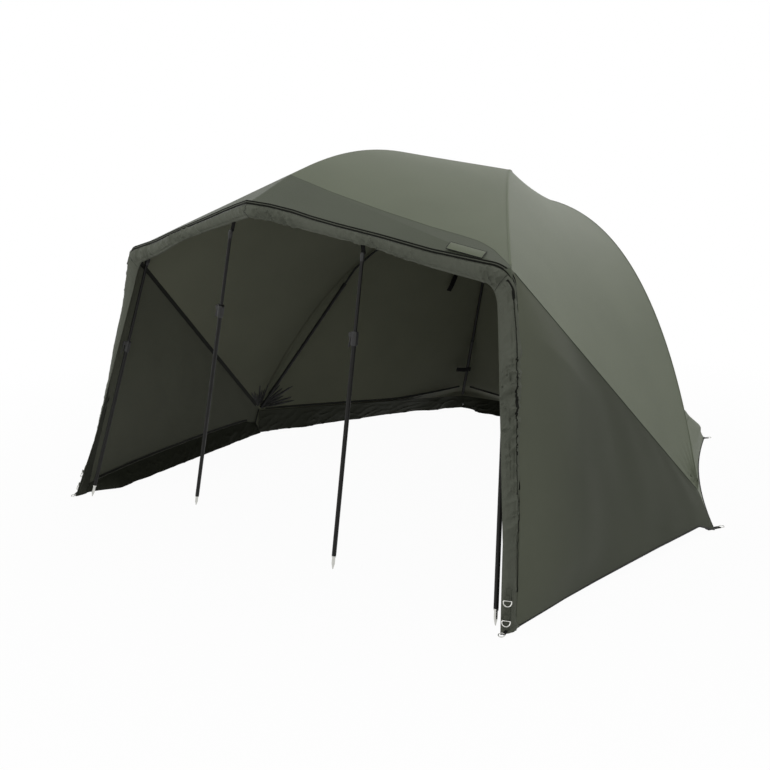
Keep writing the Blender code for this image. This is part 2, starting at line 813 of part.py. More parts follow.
def poles(seams, folds, eyes, shelter, paint):
    swivels = {}
    for word, sign in SIDES:
        key = "corner_" + word
        swivels[word] = pole(
            "corner_pole_" + word, mirrored(CORNER_FOOT, sign), eyes[key], CORNER_COLLAR_SHARE,
            seams[key].run, corner_head, folds[key], paint,
        )
    storm = (("left", STORM_LEFT_FOOT, STORM_LEFT_TOP), ("right", STORM_RIGHT_FOOT, STORM_RIGHT_TOP))
    for word, foot, top in storm:
        pole(
            "storm_pole_" + word, foot, storm_top(top, foot), STORM_COLLAR_SHARE, (-1.0, 0.0, 0.0),
            storm_head, shelter, paint,
        )
    return swivels


# Canopy


def seam_row(left, right, count=GORE_COLUMNS):
    """Points from one seam to the next, held back from both by half the gap."""
    hold = SEAM_GAP / 2.0 / (right - left).length
    return [mix(left, right, mix(hold, 1.0 - hold, k / count)) for k in range(count + 1)]


def gore_rows(left, right, left_end, right_end, depth):
    """Rows across a gore between two seams, dished towards the inside."""
    found = []
    for r in range(GORE_ROWS + 1):
        share = r / GORE_ROWS
        a = mix(left.share_at(CANOPY_START), left_end, share)
        b = mix(right.share_at(CANOPY_START), right_end, share)
        dish = (left.inward(a) + right.inward(b)).normalized() * depth * bulge(share)
        row = seam_row(left.at(a), right.at(b))
        found.append([point + dish * bulge(k / GORE_COLUMNS) for k, point in enumerate(row)])
    return found


def held_back(rows, first=False, last=False):
    """Draws the first or last row back from the next panel by half the gap."""
    hold = SEAM_GAP / 2.0
    if first:
        rows[0] = [toward(a, b, min(hold, (b - a).length / 2.0)) for a, b in zip(rows[0], rows[1])]
    if last:
        rows[-1] = [toward(a, b, min(hold, (b - a).length / 2.0)) for a, b in zip(rows[-1], rows[-2])]
    return rows


def skirt_rows(eave, left_peg, right_peg):
    """Two rows below the eave: one half way, and the ground edge with its inward curve."""
    pull = ground_pull(left_peg, right_peg) * SKIRT_CURVE
    ground = [
        point + pull * bulge(k / GORE_COLUMNS) for k, point in enumerate(seam_row(left_peg, right_peg))
    ]
    return [[mix(a, b, 0.5) for a, b in zip(eave, ground)], ground]


def ground_pull(start, end):
    """The level direction square to a wall's foot that points into the shelter."""
    along = (end - start).normalized()
    pull = Vector((-along.y, along.x, 0.0))
    inside = Vector((0.0, HUB_BACK / 2.0, 0.0)) - start
    return pull if pull.dot(inside) > 0.0 else -pull


def gores(seams, folds, paint):
    fold_line = visor_share(seams["centre"])
    for word, sign in SIDES:
        corner, side, rear = (seams[key + "_" + word] for key in ("corner", "side", "rear"))
        roof = gore_rows(seams["centre"], corner, fold_line, 1.0, SADDLE * ROOF_SADDLE_SHARE)
        made = cloth("roof_gore_" + word, held_back(roof, last=True), FABRIC, paint["canopy"])
        hung(made, folds["corner_" + word])
        flank = gore_rows(corner, side, 1.0, 1.0, SADDLE)
        made = cloth("flank_gore_" + word, held_back(flank, last=True), FABRIC, paint["canopy"])
        hung(made, folds["side_" + word])
        rows = gore_rows(side, rear, 1.0, 1.0, SADDLE)
        rows += skirt_rows(rows[-1], mirrored(SIDE_PEG, sign), mirrored(REAR_PEG, sign))
        hung(cloth("rear_side_gore_" + word, rows, FABRIC, paint["canopy"]), folds["rear_" + word])
    rows = gore_rows(seams["rear_left"], seams["rear_right"], 1.0, 1.0, SADDLE)
    rows += skirt_rows(rows[-1], mirrored(REAR_PEG, -1.0), mirrored(REAR_PEG, 1.0))
    hung(cloth("rear_gore", rows, FABRIC, paint["canopy"]), folds["rear_left"])


def mouth_line(end_gap, count=8):
    """The front edge from left to right over its peak, ending before the corners."""
    peak = Vector(MOUTH_PEAK)
    reach = 1.0 - end_gap / CORNER[0]
    return [
        mix(peak, mirrored(CORNER, math.copysign(1.0, k)), abs(k) / count * reach)
        for k in range(-count, count + 1)
    ]


def visor(seams, folds, paint):
    """The panel between the roof's fold and the front edge."""
    centre = seams["centre"]
    top = centre.at(visor_share(centre))
    low = mouth_line(BAND_END)
    high = [point + (top - Vector(MOUTH_PEAK)) * (1.0 - abs(point.x) / CORNER[0]) for point in low]
    rows = [[mix(a, b, share) for a, b in zip(high, low)] for share in (0.0, 0.5, 1.0)]
    hung(cloth("visor", held_back(rows, True, True), FABRIC, paint["canopy"]), folds["centre"])


def side_panel_point(sign, along, down):
    """A point of a side wall, by its shares along from the front and down from the seam."""
    top = mix(mirrored(CORNER, sign), mirrored(SIDE_EAVE, sign), along)
    peg, rear_peg = mirrored(FRONT_PEG, sign), mirrored(SIDE_PEG, sign)
    return mix(top, mix(toward(peg, rear_peg, LEG_BAND_FOOT), rear_peg, along), down)


def side_panels(folds, paint, rows=5, columns=8):
    for word, sign in SIDES:
        grid = [
            seam_row(side_panel_point(sign, 0.0, r / rows), side_panel_point(sign, 1.0, r / rows), columns)
            for r in range(rows + 1)
        ]
        made = cloth("side_panel_" + word, held_back(grid, first=True), FABRIC, paint["side"])
        hung(made, folds["side_" + word])


def band_drop():
    return Vector((0.0, BAND_BACK, -BAND_WIDTH))


def band_gap():
    return band_drop().normalized() * (SEAM_GAP / 2.0 + FABRIC / 2.0)


def front_band(folds, paint):
    """The padded band that hangs from the front edge."""
    top = [point + band_gap() for point in mouth_line(BAND_END)]
    rows = [[point + band_drop() * share for point in top] for share in (0.0, 0.5, 1.0)]
    hung(cloth("front_band", rows, BAND_THICK, paint["band"]), folds["centre"])


def leg_bands(swivels, paint, count=10):
    """The padded strip down each side of the mouth, from the corner to the front peg."""
    lift = Vector((0.0, 0.0, BAND_THICK / 2.0))
    for word, sign in SIDES:
        corner, peg = mirrored(CORNER, sign), mirrored(FRONT_PEG, sign)
        zip_foot = side_panel_point(sign, 0.0, 1.0) + lift
        zip_head = toward(corner, zip_foot, LEG_BAND_HEAD)
        inner_head = corner + mirrored(LEG_BAND_INNER, sign)
        rows = []
        for r in range(count + 1):
            outer, inner = mix(zip_head, zip_foot, r / count), mix(inner_head, peg + lift, r / count)
            hold = BAND_THICK / 2.0 * (1.0 - r / count) - LEG_BAND_LAP
            rows.append([toward(outer, inner, hold), mix(outer, inner, 0.5), inner])
        hung(cloth("leg_band_" + word, rows, BAND_THICK, paint["band"]), swivels[word])


# Mud flaps


def flap_rows(top, ground, pull, steps=3):
    """Rows from a flap's seam to its loose edge, in folds that grow towards the ground."""
    length = (ground[-1] - ground[0]).length
    found = []
    for r in range(steps + 1):
        share = r / steps
        row = []
        for k, (high, low) in enumerate(zip(top, ground)):
            turn = 2.0 * math.pi * k / (len(top) - 1) * length / FLAP_FOLD_LENGTH
            row.append(mix(high, low, share) + pull * FLAP_FOLD * math.sin(turn) * bulge(share / 2.0))
        found.append(row)
    return found


def flap(name, top_line, foot_line, pull, paint):
    """A mud flap from a line on the wall to a line on the ground, short of the corners."""
    length = (foot_line(1.0) - foot_line(0.0)).length
    margin = FLAP_END / length
    count = round(2.0 * length / FLAP_FOLD_LENGTH)
    shares = [mix(margin, 1.0 - margin, k / count) for k in range(count + 1)]
    top = [top_line(share) for share in shares]
    ground = [foot_line(share) + pull * FLAP_REACH for share in shares]
    for point in ground:
        point.z = FLAP_THICK / 2.0 + FOOT_CLEAR
    return cloth(name, flap_rows(top, ground, pull), FLAP_THICK, paint["side"])


def side_flap(name, sign, paint):
    """The mud flap inside a side panel."""
    wall = [side_panel_point(sign, along, 1.0) for along in (0.0, 1.0)]
    pull = ground_pull(*wall)
    inset = pull * (FABRIC / 2.0 + FLAP_THICK / 2.0 + FLAP_INSET)

    def seam(share):
        height = mix(CORNER[2], SIDE_EAVE[2], share)
        return side_panel_point(sign, share, 1.0 - FLAP_SEAM_HEIGHT / height) + inset

    return flap(name, seam, lambda share: mix(*wall, share), pull, paint)


def eave_flap(name, eave, pegs, inset, paint):
    """The mud flap inside a wall's skirt, from just under its eave."""
    pull = ground_pull(*pegs)

    def foot(share):
        return mix(*pegs, share) + pull * SKIRT_CURVE * bulge(share)

    def seam(share):
        top = mix(*eave, share)
        down = foot(share) - top
        under = down.cross(eave[1] - eave[0]).normalized()
        under = under if under.dot(pull) > 0.0 else -under
        return top + down.normalized() * FLAP_DROP + under * (FABRIC / 2.0 + FLAP_THICK / 2.0 + inset)

    return flap(name, seam, foot, pull, paint)


def mud_flaps(folds, paint):
    for word, sign in SIDES:
        hung(side_flap("mud_flap_side_" + word, sign, paint), folds["side_" + word])
        eave = (mirrored(SIDE_EAVE, sign), mirrored(REAR_EAVE, sign))
        pegs = (mirrored(SIDE_PEG, sign), mirrored(REAR_PEG, sign))
        hung(eave_flap("mud_flap_rear_" + word, eave, pegs, EAVE_FLAP_INSET, paint), folds["rear_" + word])
    eave, pegs = ([mirrored(spot, sign) for sign in (-1.0, 1.0)] for spot in (REAR_EAVE, REAR_PEG))
    hung(eave_flap("mud_flap_back", eave, pegs, BACK_FLAP_INSET, paint), folds["rear_left"])


# Webbing and rings


def corner_webbing(swivels, paint):
    """A strip of webbing down each front foot, with a ring round it near its top."""
    for word, sign in SIDES:
        zip_foot, peg = side_panel_point(sign, 0.0, 1.0), mirrored(FRONT_PEG, sign)
        corner = mirrored(CORNER, sign)
        foot = mix(zip_foot, peg, STRAP_PLACE_SHARE)
        up = (corner - zip_foot).normalized()
        across = (peg - zip_foot).normalized()
        out = up.cross(across).normalized()
        out = out if out.x * sign > 0.0 else -out
        base = foot + out * (BAND_THICK / 2.0 + STRAP_THICK / 2.0 + 2.0 * GAP)
        frame = frame_at(base, out.cross(up), up)
        strap = block(
            "corner_strap_" + word,
            (-STRAP_WIDTH / 2.0, -STRAP_THICK / 2.0, STRAP_START),
            (STRAP_WIDTH / 2.0, STRAP_THICK / 2.0, STRAP_START + STRAP_LENGTH),
            paint["band"],
        )
        sides = 16
        angles = [2.0 * math.pi * k / sides for k in range(sides)]
        stand_off = STRAP_THICK / 2.0 + RING_WIRE + GAP
        points = [
            (RING_RADIUS * math.cos(angle), stand_off, RING_HEIGHT + RING_RADIUS * math.sin(angle))
            for angle in angles
        ]
        ring = rod("corner_ring_" + word, points, RING_WIRE, paint["steel"], closed=True)
        for made in (strap, ring):
            hung(placed(made, frame), swivels[word])


def centre_on_ground(shelter):
    """Moves the shelter so that its origin is in the middle of its ground rectangle."""
    bpy.context.view_layer.update()
    points = [
        made.matrix_world @ vertex.co
        for made in bpy.data.objects if made.type == "MESH" for vertex in made.data.vertices
    ]
    depths = [point.y for point in points]
    lowest = min(point.z for point in points)
    shelter.location = (0.0, -(min(depths) + max(depths)) / 2.0, -lowest)


def main():
    clear_scene()
    paint = finishes()
    shelter = pivot("shelter", (0.0, 0.0, 0.0), None)
    seams = canopy_seams()
    hub(seams, shelter, paint)
    folds, eyes = ribs(seams, shelter, paint)
    swivels = poles(seams, folds, eyes, shelter, paint)
    gores(seams, folds, paint)
    visor(seams, folds, paint)
    side_panels(folds, paint)
    front_band(folds, paint)
    leg_bands(swivels, paint)
    mud_flaps(folds, paint)
    corner_webbing(swivels, paint)
    centre_on_ground(shelter)


main()
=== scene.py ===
"""The looks of the fishing umbrella shelter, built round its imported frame.

Lengths are in metres. The drawing has its zero between the feet of the corner poles, and SHIFT
moves it to the middle of the ground rectangle, where the frame has it.
"""

import math

import bmesh
import bpy
import numpy as np
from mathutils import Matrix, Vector


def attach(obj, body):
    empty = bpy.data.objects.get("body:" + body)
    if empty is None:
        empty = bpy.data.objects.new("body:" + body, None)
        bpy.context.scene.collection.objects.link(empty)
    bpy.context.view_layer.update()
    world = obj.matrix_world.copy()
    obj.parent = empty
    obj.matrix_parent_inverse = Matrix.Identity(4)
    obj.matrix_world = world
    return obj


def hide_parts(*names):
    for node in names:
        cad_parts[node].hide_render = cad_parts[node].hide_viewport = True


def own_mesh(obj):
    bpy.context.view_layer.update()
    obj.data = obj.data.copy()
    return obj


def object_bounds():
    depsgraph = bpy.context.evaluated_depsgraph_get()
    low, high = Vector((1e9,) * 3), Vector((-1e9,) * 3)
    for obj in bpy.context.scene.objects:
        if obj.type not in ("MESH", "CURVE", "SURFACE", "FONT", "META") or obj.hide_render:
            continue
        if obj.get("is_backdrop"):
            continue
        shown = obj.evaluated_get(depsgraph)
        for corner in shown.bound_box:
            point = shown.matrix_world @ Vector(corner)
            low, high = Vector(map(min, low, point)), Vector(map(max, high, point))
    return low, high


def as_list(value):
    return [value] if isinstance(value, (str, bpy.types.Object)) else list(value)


SHIFT = np.array((0.0, -1.282439, 0.000181))

# Camera
CAMERA = (2.296, -3.5026, 1.2522)
CAMERA_PITCH = 0.197
CAMERA_YAW = 0.653
LENS = 42.08
SENSOR = 36.0

# The canopy's lines, as the frame has them
HUB_BACK = 1.87
WIRE_HEIGHT = 1.27
WIRE_CIRCLE = 0.042
ROOT_DROP = 0.03
CANOPY_START = 0.019
INSIDE = np.array((0.0, 1.3, 0.7))
MOUTH_PEAK = np.array((0.0, -0.015, 1.25))
CORNER = (0.927, 0.203, 1.061)
SIDE_EAVE = (1.217, 1.219, 0.149)
REAR_EAVE = (0.672, 2.465, 0.095)
FRONT_PEG = (1.067, -0.055, 0.0)
SIDE_PEG = (1.284, 1.23, 0.0)
REAR_PEG = (0.779, 2.645, 0.0)
VISOR_DEPTH = 0.2275
SADDLE = 0.0272
ROOF_SADDLE_SHARE = -0.22
SKIRT_CURVE = 0.043
CROWD_ACROSS = 1.8
CROWD_DOWN = 1.5
CENTRE_LINE = ((1.4955, 1.5835), (0.437, 0.643), 0.0)
CORNER_LINE = ((1.5316, 1.3268), (0.381, 0.676), -0.0372)
SIDE_LINE = ((1.2768, 1.2295), (0.139, 0.615), 0.1485)
REAR_LINE = ((1.3104, 0.9704), (0.36, 0.433), 0.0)
BAND_WIDTH = 0.056
BAND_DROP = np.array((0.0, 0.012, -BAND_WIDTH)) / BAND_WIDTH
LEG_BAND_FOOT = 0.064
LEG_BAND_INNER = (-0.05, -0.03, -0.06)

# The front edge's rise and sag, the band's depth and the leg's lines: places along, and millimetres
EDGE_RISES = ((0.0, 0.08, 0.17, 0.25, 0.34, 0.5, 0.67, 0.84, 0.927), (7, 11, 10, 5, 2, 0, -7, -3, 0))
EDGE_LEAN = 2.14
BAND_DEPTHS = ((0.0, 0.16, 0.27, 0.43, 0.58, 0.83, 0.927), (46, 44, 38, 35, 45, 58, 58))
LEG_BOWS = ((0.0, 0.1, 0.2, 0.4, 0.6, 0.75, 0.88, 1.0), (0, 6, 13, 9, 18, 17, 7, 0))
LEG_BOW_REACH = 0.1
LEG_ZIPS = ((0.0, 0.1, 0.2, 0.35, 0.5, 0.75, 0.92, 1.0), (4, 18, 24, 17, 8, 3, 2, 2))
LEG_INNERS = ((0.0, 0.1, 0.5, 0.75, 0.88, 1.0), (31, 34, 31, 30, 16, 4))

# Where the band turns at the front corners, and its points before, in and after the turn
FRONT_TURN = 0.862
FRONT_INNER_TURN = 0.842
LEG_TURN = 0.06
INNER_TURN = (-0.05, 0.001, -0.058)
FRONT_POINTS = 170
TURN_POINTS = 34
LEG_POINTS = 230
MITRE = FRONT_POINTS + TURN_POINTS // 2
GUSSET_START = FRONT_POINTS - 15
GUSSET_LEG = 16
STORM_TOPS = {"left": -0.11, "right": 0.43}

# The walls: how far the foot is lifted along, how far each bulges, the columns of the front border and
# the lean of the front edge. Then the line of the visor's facing on a roof gore, by shares across it
WALL_LIFTS = ((0.0, 0.13, 0.21, 0.35, 0.5, 0.67, 0.92, 1.0), (0, 10, 17, 24, 29, 34, 36, 0))
WALL_BULGES = {"left": 0.006, "right": 0.038}
WALL_BULGE_REACH = 0.6
WALL_BORDER = (0.01, 0.027, 0.044)
WALL_SLOPE = 0.243
RIDGE_SHARES = ((0.0, 0.21, 0.4645, 0.66, 0.81, 0.8726, 0.93, 0.976, 1.0),
                (1.0, 0.9998, 0.989, 0.975, 0.958, 0.9533, 0.962, 0.984, 1.0))

# The ground edges: a flap's places with its foot's x and y, how far a rear peg draws out the cloth, and
# the side flaps' heights and reaches at the front and at the back
SIDE_FEET = ((0.0, 0.19, 0.45, 0.69, 0.82, 1.0), (1.248, 1.14, 1.02, 0.905, 0.8, 0.676),
             (1.232, 1.465, 1.8, 2.11, 2.277, 2.48))
BACK_FEET = ((0.0, 0.09, 0.22, 0.5, 0.78, 0.91, 1.0), (-0.676, -0.556, -0.38, 0.0, 0.38, 0.556, 0.676),
             (2.48, 2.425, 2.395, 2.39, 2.395, 2.425, 2.48))
REAR_EASE = (0.048, 0.095, 0.035)
REAR_EASE_REACH = 0.52
REAR_EASE_POWER = 1.35
FLAP_TOPS = (0.046, 0.062)
FLAP_FEET = (0.09, 0.056)
FLAP_DROP = 0.012
FLAP_END = 0.004
FLAP_ROWS = 20
FLAP_COLUMNS_A_METRE = 130

# Peg tabs from root to tip, and the front feet's straps from head to foot
PEG_TABS = (("side", (1.26, 1.218, 0.0), (1.293, 1.284, 0.0)),
            ("rear", (0.77, 2.62, 0.0), (0.797, 2.664, 0.0)))
FOOT_STRAP = ((1.0596, 0.0084, 0.1304), (1.074, -0.03, 0.016))

# Cloth and trims
FABRIC = 0.0011
ZIP_WIDTH = 0.013
WELT = 0.0014
TAPE_WIDTH = 0.019
TAPE_THICK = 0.001
FELLED_WIDTH = 0.01
INNER_TAPE_WIDTH = 0.024
HOOK_WIDTH = 0.028
HOOK_THICK = 0.0024
STRAP_WIDTH = 0.026
WEBBING_THICK = 0.0016
HEM_CORD = 0.003
PATCH = ((0.709, 0.17, 1.117), (0.827, 0.194, 1.089), (0.82, 0.235, 1.106), (0.702, 0.21, 1.135))

SIDES = (("left", -1.0), ("right", 1.0))
UP = np.array((0.0, 0.0, 1.0))
SHARP = math.radians(40.0)
WHITE = (1.0, 1.0, 1.0, 1.0)
FLOOR = (0.8, 0.8, 0.79, 1.0)


# Numbers and lines


def unit(vector):
    return np.asarray(vector) / np.linalg.norm(vector)


def units(rows):
    return rows / np.linalg.norm(rows, axis=1, keepdims=True)


def evenly(count):
    """Even shares from zero to one."""
    return np.linspace(0.0, 1.0, count)


def mirrored(point, sign):
    return np.array((point[0] * sign, point[1], point[2]))


def mix(a, b, share):
    return a * (1.0 - share) + b * share


def bulge(share):
    return 4.0 * share * (1.0 - share)


class Seam:
    """A canopy seam from the hub to its end, as the frame has it."""

    def __init__(self, end, line, sign=1.0):
        lifts, shares, bow = line
        self.end = mirrored(end, sign)
        flat = np.array((self.end[0], self.end[1] - HUB_BACK, 0.0))
        self.run = unit(flat)
        self.axis = np.array((-self.run[1], self.run[0], 0.0))
        self.pin = np.array((0.0, HUB_BACK, WIRE_HEIGHT)) + self.run * WIRE_CIRCLE
        start = self.pin + (0.0, 0.0, ROOT_DROP)
        near, far = (start + flat * share + self.axis * bow * sign for share in shares)
        near[2], far[2] = lifts
        self.knots = (start, near, far, self.end)

    def at(self, t):
        s = 1.0 - t
        a, b, c, d = self.knots
        return a * s ** 3 + b * 3.0 * s * s * t + c * 3.0 * s * t * t + d * t ** 3

    def tangent(self, t):
        s = 1.0 - t
        a, b, c, d = self.knots
        return unit((b - a) * s * s + (c - b) * 2.0 * s * t + (d - c) * t * t)

    def inward(self, t):
        along = self.tangent(t)
        inside = INSIDE - self.at(t)
        return unit(inside - along * inside.dot(along))

    def share_where(self, passed):
        low, high = 0.0, 1.0
        for _ in range(30):
            middle = (low + high) / 2.0
            low, high = (low, middle) if passed(middle) else (middle, high)
        return high

    def share_at(self, length, steps=60):
        spots = [self.at(k / steps) for k in range(steps + 1)]
        sums = np.concatenate(([0.0], np.cumsum([np.linalg.norm(b - a) for a, b in zip(spots, spots[1:])])))
        return float(np.interp(length, sums, evenly(steps + 1)))


def mouth_point(x):
    """A point of the straight line from the peak to a front corner."""
    corner = mirrored(CORNER, math.copysign(1.0, x))
    return mix(MOUTH_PEAK, corner, abs(x) / CORNER[0])


def shaped(table, place):
    """A value in metres from a table of places and millimetres."""
    return float(np.interp(place, *table)) * 0.001


def front_edge(x):
    """The front edge with its slight rise beside the peak and sag towards the corner."""
    rise = shaped(EDGE_RISES, abs(x))
    return mouth_point(x) + np.array((0.0, max(rise, 0.0) * EDGE_LEAN, rise))


def side_point(sign, along, down):
    """A point of a side wall, by its shares along from the front and down from the seam."""
    top = mix(mirrored(CORNER, sign), mirrored(SIDE_EAVE, sign), along)
    peg, rear_peg = mirrored(FRONT_PEG, sign), mirrored(SIDE_PEG, sign)
    foot = mix(peg + unit(rear_peg - peg) * LEG_BAND_FOOT, rear_peg, along)
    point = mix(top, foot, down * (1.0 - shaped(WALL_LIFTS, along) / top[2]))
    point[1] += shaped(LEG_BOWS, down) * math.exp(-along / LEG_BOW_REACH)
    return point


def ground_pull(start, end):
    """The direction on the ground that leads in from an edge."""
    along = unit(end - start)
    pull = np.array((-along[1], along[0], 0.0))
    inside = np.array((0.0, HUB_BACK / 2.0, 0.0)) - start
    return pull if pull.dot(inside) > 0.0 else -pull


def ripples(u, v, wave, seed, slant=0.0, spread=0.5, count=14):
    """A smooth random field of waves about one direction, the same each time."""
    draw = np.random.default_rng(seed)
    total = np.zeros_like(u)
    for _ in range(count):
        angle = draw.normal(slant, spread)
        size = 2.0 * math.pi / (wave * draw.uniform(0.6, 1.7))
        phase = draw.uniform(0.0, 2.0 * math.pi)
        total += np.sin(size * (u * math.cos(angle) + v * math.sin(angle)) + phase)
    return total / math.sqrt(count)


def creases(u, v, wave, seed, slant, spread):
    """Like ripples, with narrow ridges and wide valleys."""
    return np.exp(-np.abs(ripples(u, v, wave, seed, slant, spread)) * 2.2)


# Materials

# The period of Blender's wave texture at a scale of one
WAVE_PERIOD = 0.314159


class Nodes:
    """A short way to write a tree of nodes. Each method gives a node's output."""

    def __init__(self, owner):
        owner.use_nodes = True
        self.tree = owner.node_tree

    def feed(self, target, value):
        if isinstance(value, bpy.types.NodeSocket):
            self.tree.links.new(value, target)
        else:
            target.default_value = value

    def add(self, kind, inputs, output=0, **settings):
        node = self.tree.nodes.new("ShaderNode" + kind)
        for key, value in settings.items():
            setattr(node, key, value)
        for key, value in inputs.items():
            self.feed(node.inputs[key], value)
        return node.outputs[output]

    def math(self, operation, a, b=0.0):
        return self.add("Math", {0: a, 1: b}, operation=operation)

    def blend(self, share, a, b, way="MIX"):
        inputs = {"Factor": share, "A": a, "B": b}
        return self.add("Mix", inputs, "Result", data_type="RGBA", blend_type=way)

    def span(self, value, low, high, out_low=0.0, out_high=1.0):
        ends = {"From Min": low, "From Max": high, "To Min": out_low, "To Max": out_high}
        return self.add("MapRange", {"Value": value, **ends}, "Result")

    def seen_white(self):
        """One where the camera looks or a gloss or clear ray comes, for the pale background."""
        camera, gloss, clear = (
            self.add("LightPath", {}, "Is %s Ray" % kind) for kind in ("Camera", "Glossy", "Transmission"))
        return self.math("MAXIMUM", self.math("MAXIMUM", camera, gloss), clear)

    def close(self, output, share, first, second):
        """Mixes two shaders into the tree's output."""
        mixed = self.add("MixShader", {"Fac": share, 1: first, 2: second})
        self.feed(self.tree.nodes[output].inputs["Surface"], mixed)


class Shading(Nodes):
    """The nodes of a new material."""

    def __init__(self, name, specular=0.5, metallic=0.0):
        self.material = bpy.data.materials.new(name)
        super().__init__(self.material)
        self.shader = self.tree.nodes["Principled BSDF"]
        self.shader.inputs["Specular IOR Level"].default_value = specular
        self.shader.inputs["Metallic"].default_value = metallic
        self.place = self.add("TexCoord", {}, "Object")

    def uv(self):
        return self.add("UVMap", {}, "UV", uv_map="metres")

    def axis(self, vector, name):
        return self.add("SeparateXYZ", {0: vector}, name)

    def noise(self, scale, detail=3.0, rough=0.5, vector=None):
        inputs = {"Scale": scale, "Detail": detail, "Roughness": rough}
        return self.add("TexNoise", {"Vector": self.place if vector is None else vector, **inputs}, "Fac")

    def threads(self, pitch, axis):
        """Waves across one direction of the cloth."""
        return self.add("TexWave", {"Vector": self.uv(), "Scale": WAVE_PERIOD / pitch}, "Fac",
                        bands_direction=axis)

    def near(self, value, middle, reach):
        return self.math("LESS_THAN", self.math("ABSOLUTE", self.math("SUBTRACT", value, middle)), reach)

    def dashes(self, pitch, reach):
        """Short marks along the cloth."""
        return self.math("LESS_THAN", self.math("PINGPONG", self.axis(self.uv(), "Y"), pitch), reach)

    def bump(self, height, distance, normal=None):
        under = {} if normal is None else {"Normal": normal}
        return self.add("Bump", {"Height": height, "Distance": distance, **under}, "Normal")

    def mottled(self, field, colour, low, high):
        """A colour that a field of noise makes darker and lighter."""
        return self.blend(self.span(field, 0.3, 0.7), shaded(colour, low), shaded(colour, high))

    def finish(self, colour, rough, normal):
        for key, value in (("Base Color", colour), ("Roughness", rough), ("Normal", normal)):
            self.feed(self.shader.inputs[key], value)
        return self.material


def srgb(*levels):
    """A colour from its levels out of 255."""
    shares = [level / 255.0 for level in levels]
    return tuple(s / 12.92 if s <= 0.04045 else ((s + 0.055) / 1.055) ** 2.4 for s in shares) + (1.0,)


def shaded(colour, share):
    return tuple(level * share for level in colour[:3]) + (1.0,)


def woven(name, colour, rough, specular, pitch=0.0014, weave=0.00012, crumple=0.0, painted_light_span=None):
    """Coated cloth: a plain weave, faint cloudy tone and fine crumples.

    The painted light span gives two places behind a wall's sloping front edge, between which a lighter tone
    runs out: painted light, for the light that the front of the wall catches.
    """
    made = Shading(name, specular)
    fine = made.noise(260.0, 2.0)
    over = made.math("MULTIPLY", *(made.math("SUBTRACT", made.threads(pitch, axis), 0.5) for axis in "XY"))
    cloth = made.math("ADD", made.math("MULTIPLY", over, 2.0), 0.5)
    tone = made.mottled(made.noise(3.0, 4.0), colour, 0.94, 1.06)
    tone = made.blend(made.span(cloth, 0.0, 1.0, 0.0, 0.16), tone, shaded(colour, 0.62))
    tone = made.blend(made.span(fine, 0.45, 0.75, 0.0, 0.1), tone, shaded(colour, 1.35))
    # Painted light: the wall's front made lighter towards its sloping edge
    if painted_light_span is not None:
        slope = made.math("MULTIPLY", made.axis(made.place, "Z"), WALL_SLOPE)
        behind = made.math("SUBTRACT", made.axis(made.place, "Y"), slope)
        tone = made.blend(made.span(behind, *painted_light_span, 1.0, 0.0), tone, (1.7, 1.7, 1.66, 1.0), "MULTIPLY")
    height = made.bump(cloth, weave)
    if crumple:
        height = made.bump(made.noise(22.0, 3.0, 0.55), crumple, height)
    return made.finish(tone, made.span(fine, 0.2, 0.8, rough - 0.05, rough + 0.07), height)


def stitched(name, colour, rows, width, rough=0.6, thread_share=1.5):
    """Tape or a hem with two rows of stitches along it. The rows are shares of its width."""
    made = Shading(name, 0.12)
    dash, across = made.dashes(0.003, 0.0022), made.axis(made.uv(), "X")
    marks = made.math(
        "MAXIMUM", *(made.math("MULTIPLY", made.near(across, row * width, 0.0007), dash) for row in rows))
    tone = made.mottled(made.noise(300.0), colour, 0.86, 1.14)
    tone = made.blend(marks, tone, shaded(colour, thread_share))
    return made.finish(tone, rough, made.bump(marks, 0.0004, made.bump(made.threads(0.0011, "Y"), 0.00015)))


def zipped(name, colour, width):
    """Zip tape with fine teeth across its middle."""
    made = Shading(name, 0.08)
    middle = made.near(made.axis(made.uv(), "X"), width / 2.0, 0.0022)
    teeth = made.math("MULTIPLY", made.dashes(0.0012, 0.0007), middle)
    tone = made.blend(teeth, made.mottled(made.noise(300.0), colour, 0.8, 1.3), shaded(colour, 1.8))
    return made.finish(tone, 0.6, made.bump(teeth, 0.0004))


def coated(name, colour, rough, specular, wear, edges, paler, grain, depth):
    """Paint or moulded plastic: a fine grain, and rubbed places that are paler and duller.

    Wear is the noise that rubs it, edges where that starts and ends and how much it shows there.
    """
    made = Shading(name, specular)
    worn = made.noise(*wear)
    tone = made.blend(made.span(worn, *edges), colour, shaded(colour, paler))
    rough = made.span(worn, 0.3, 0.7, *rough)
    return made.finish(tone, rough, made.bump(made.noise(grain, 2.0), depth))


def bright_steel(name, colour, rough=0.24):
    made = Shading(name, metallic=1.0)
    drawn = made.add("Mapping", {"Vector": made.place, "Scale": (900.0, 900.0, 60.0)}, "Vector")
    brushed = made.noise(1.0, 2.0, vector=drawn)
    tone = made.blend(made.noise(40.0), shaded(colour, 0.8), colour)
    rough = made.span(brushed, 0.3, 0.7, rough - 0.06, rough + 0.14)
    return made.finish(tone, rough, made.bump(brushed, 0.00004))


OUTER = srgb(112, 118, 100)
INNER = srgb(113, 115, 98)
# The canopy cloth darkened: painted shade for the visor, whose slope faces away from the light
VISOR_SHADED = srgb(84, 89, 75)
BLACK = srgb(24, 24, 22)
PAINT = dict(specular=0.22, wear=(34.0, 5.0, 0.65), edges=(0.62, 0.72, 0.0, 0.35), paler=2.4, grain=900.0,
             depth=0.00006)

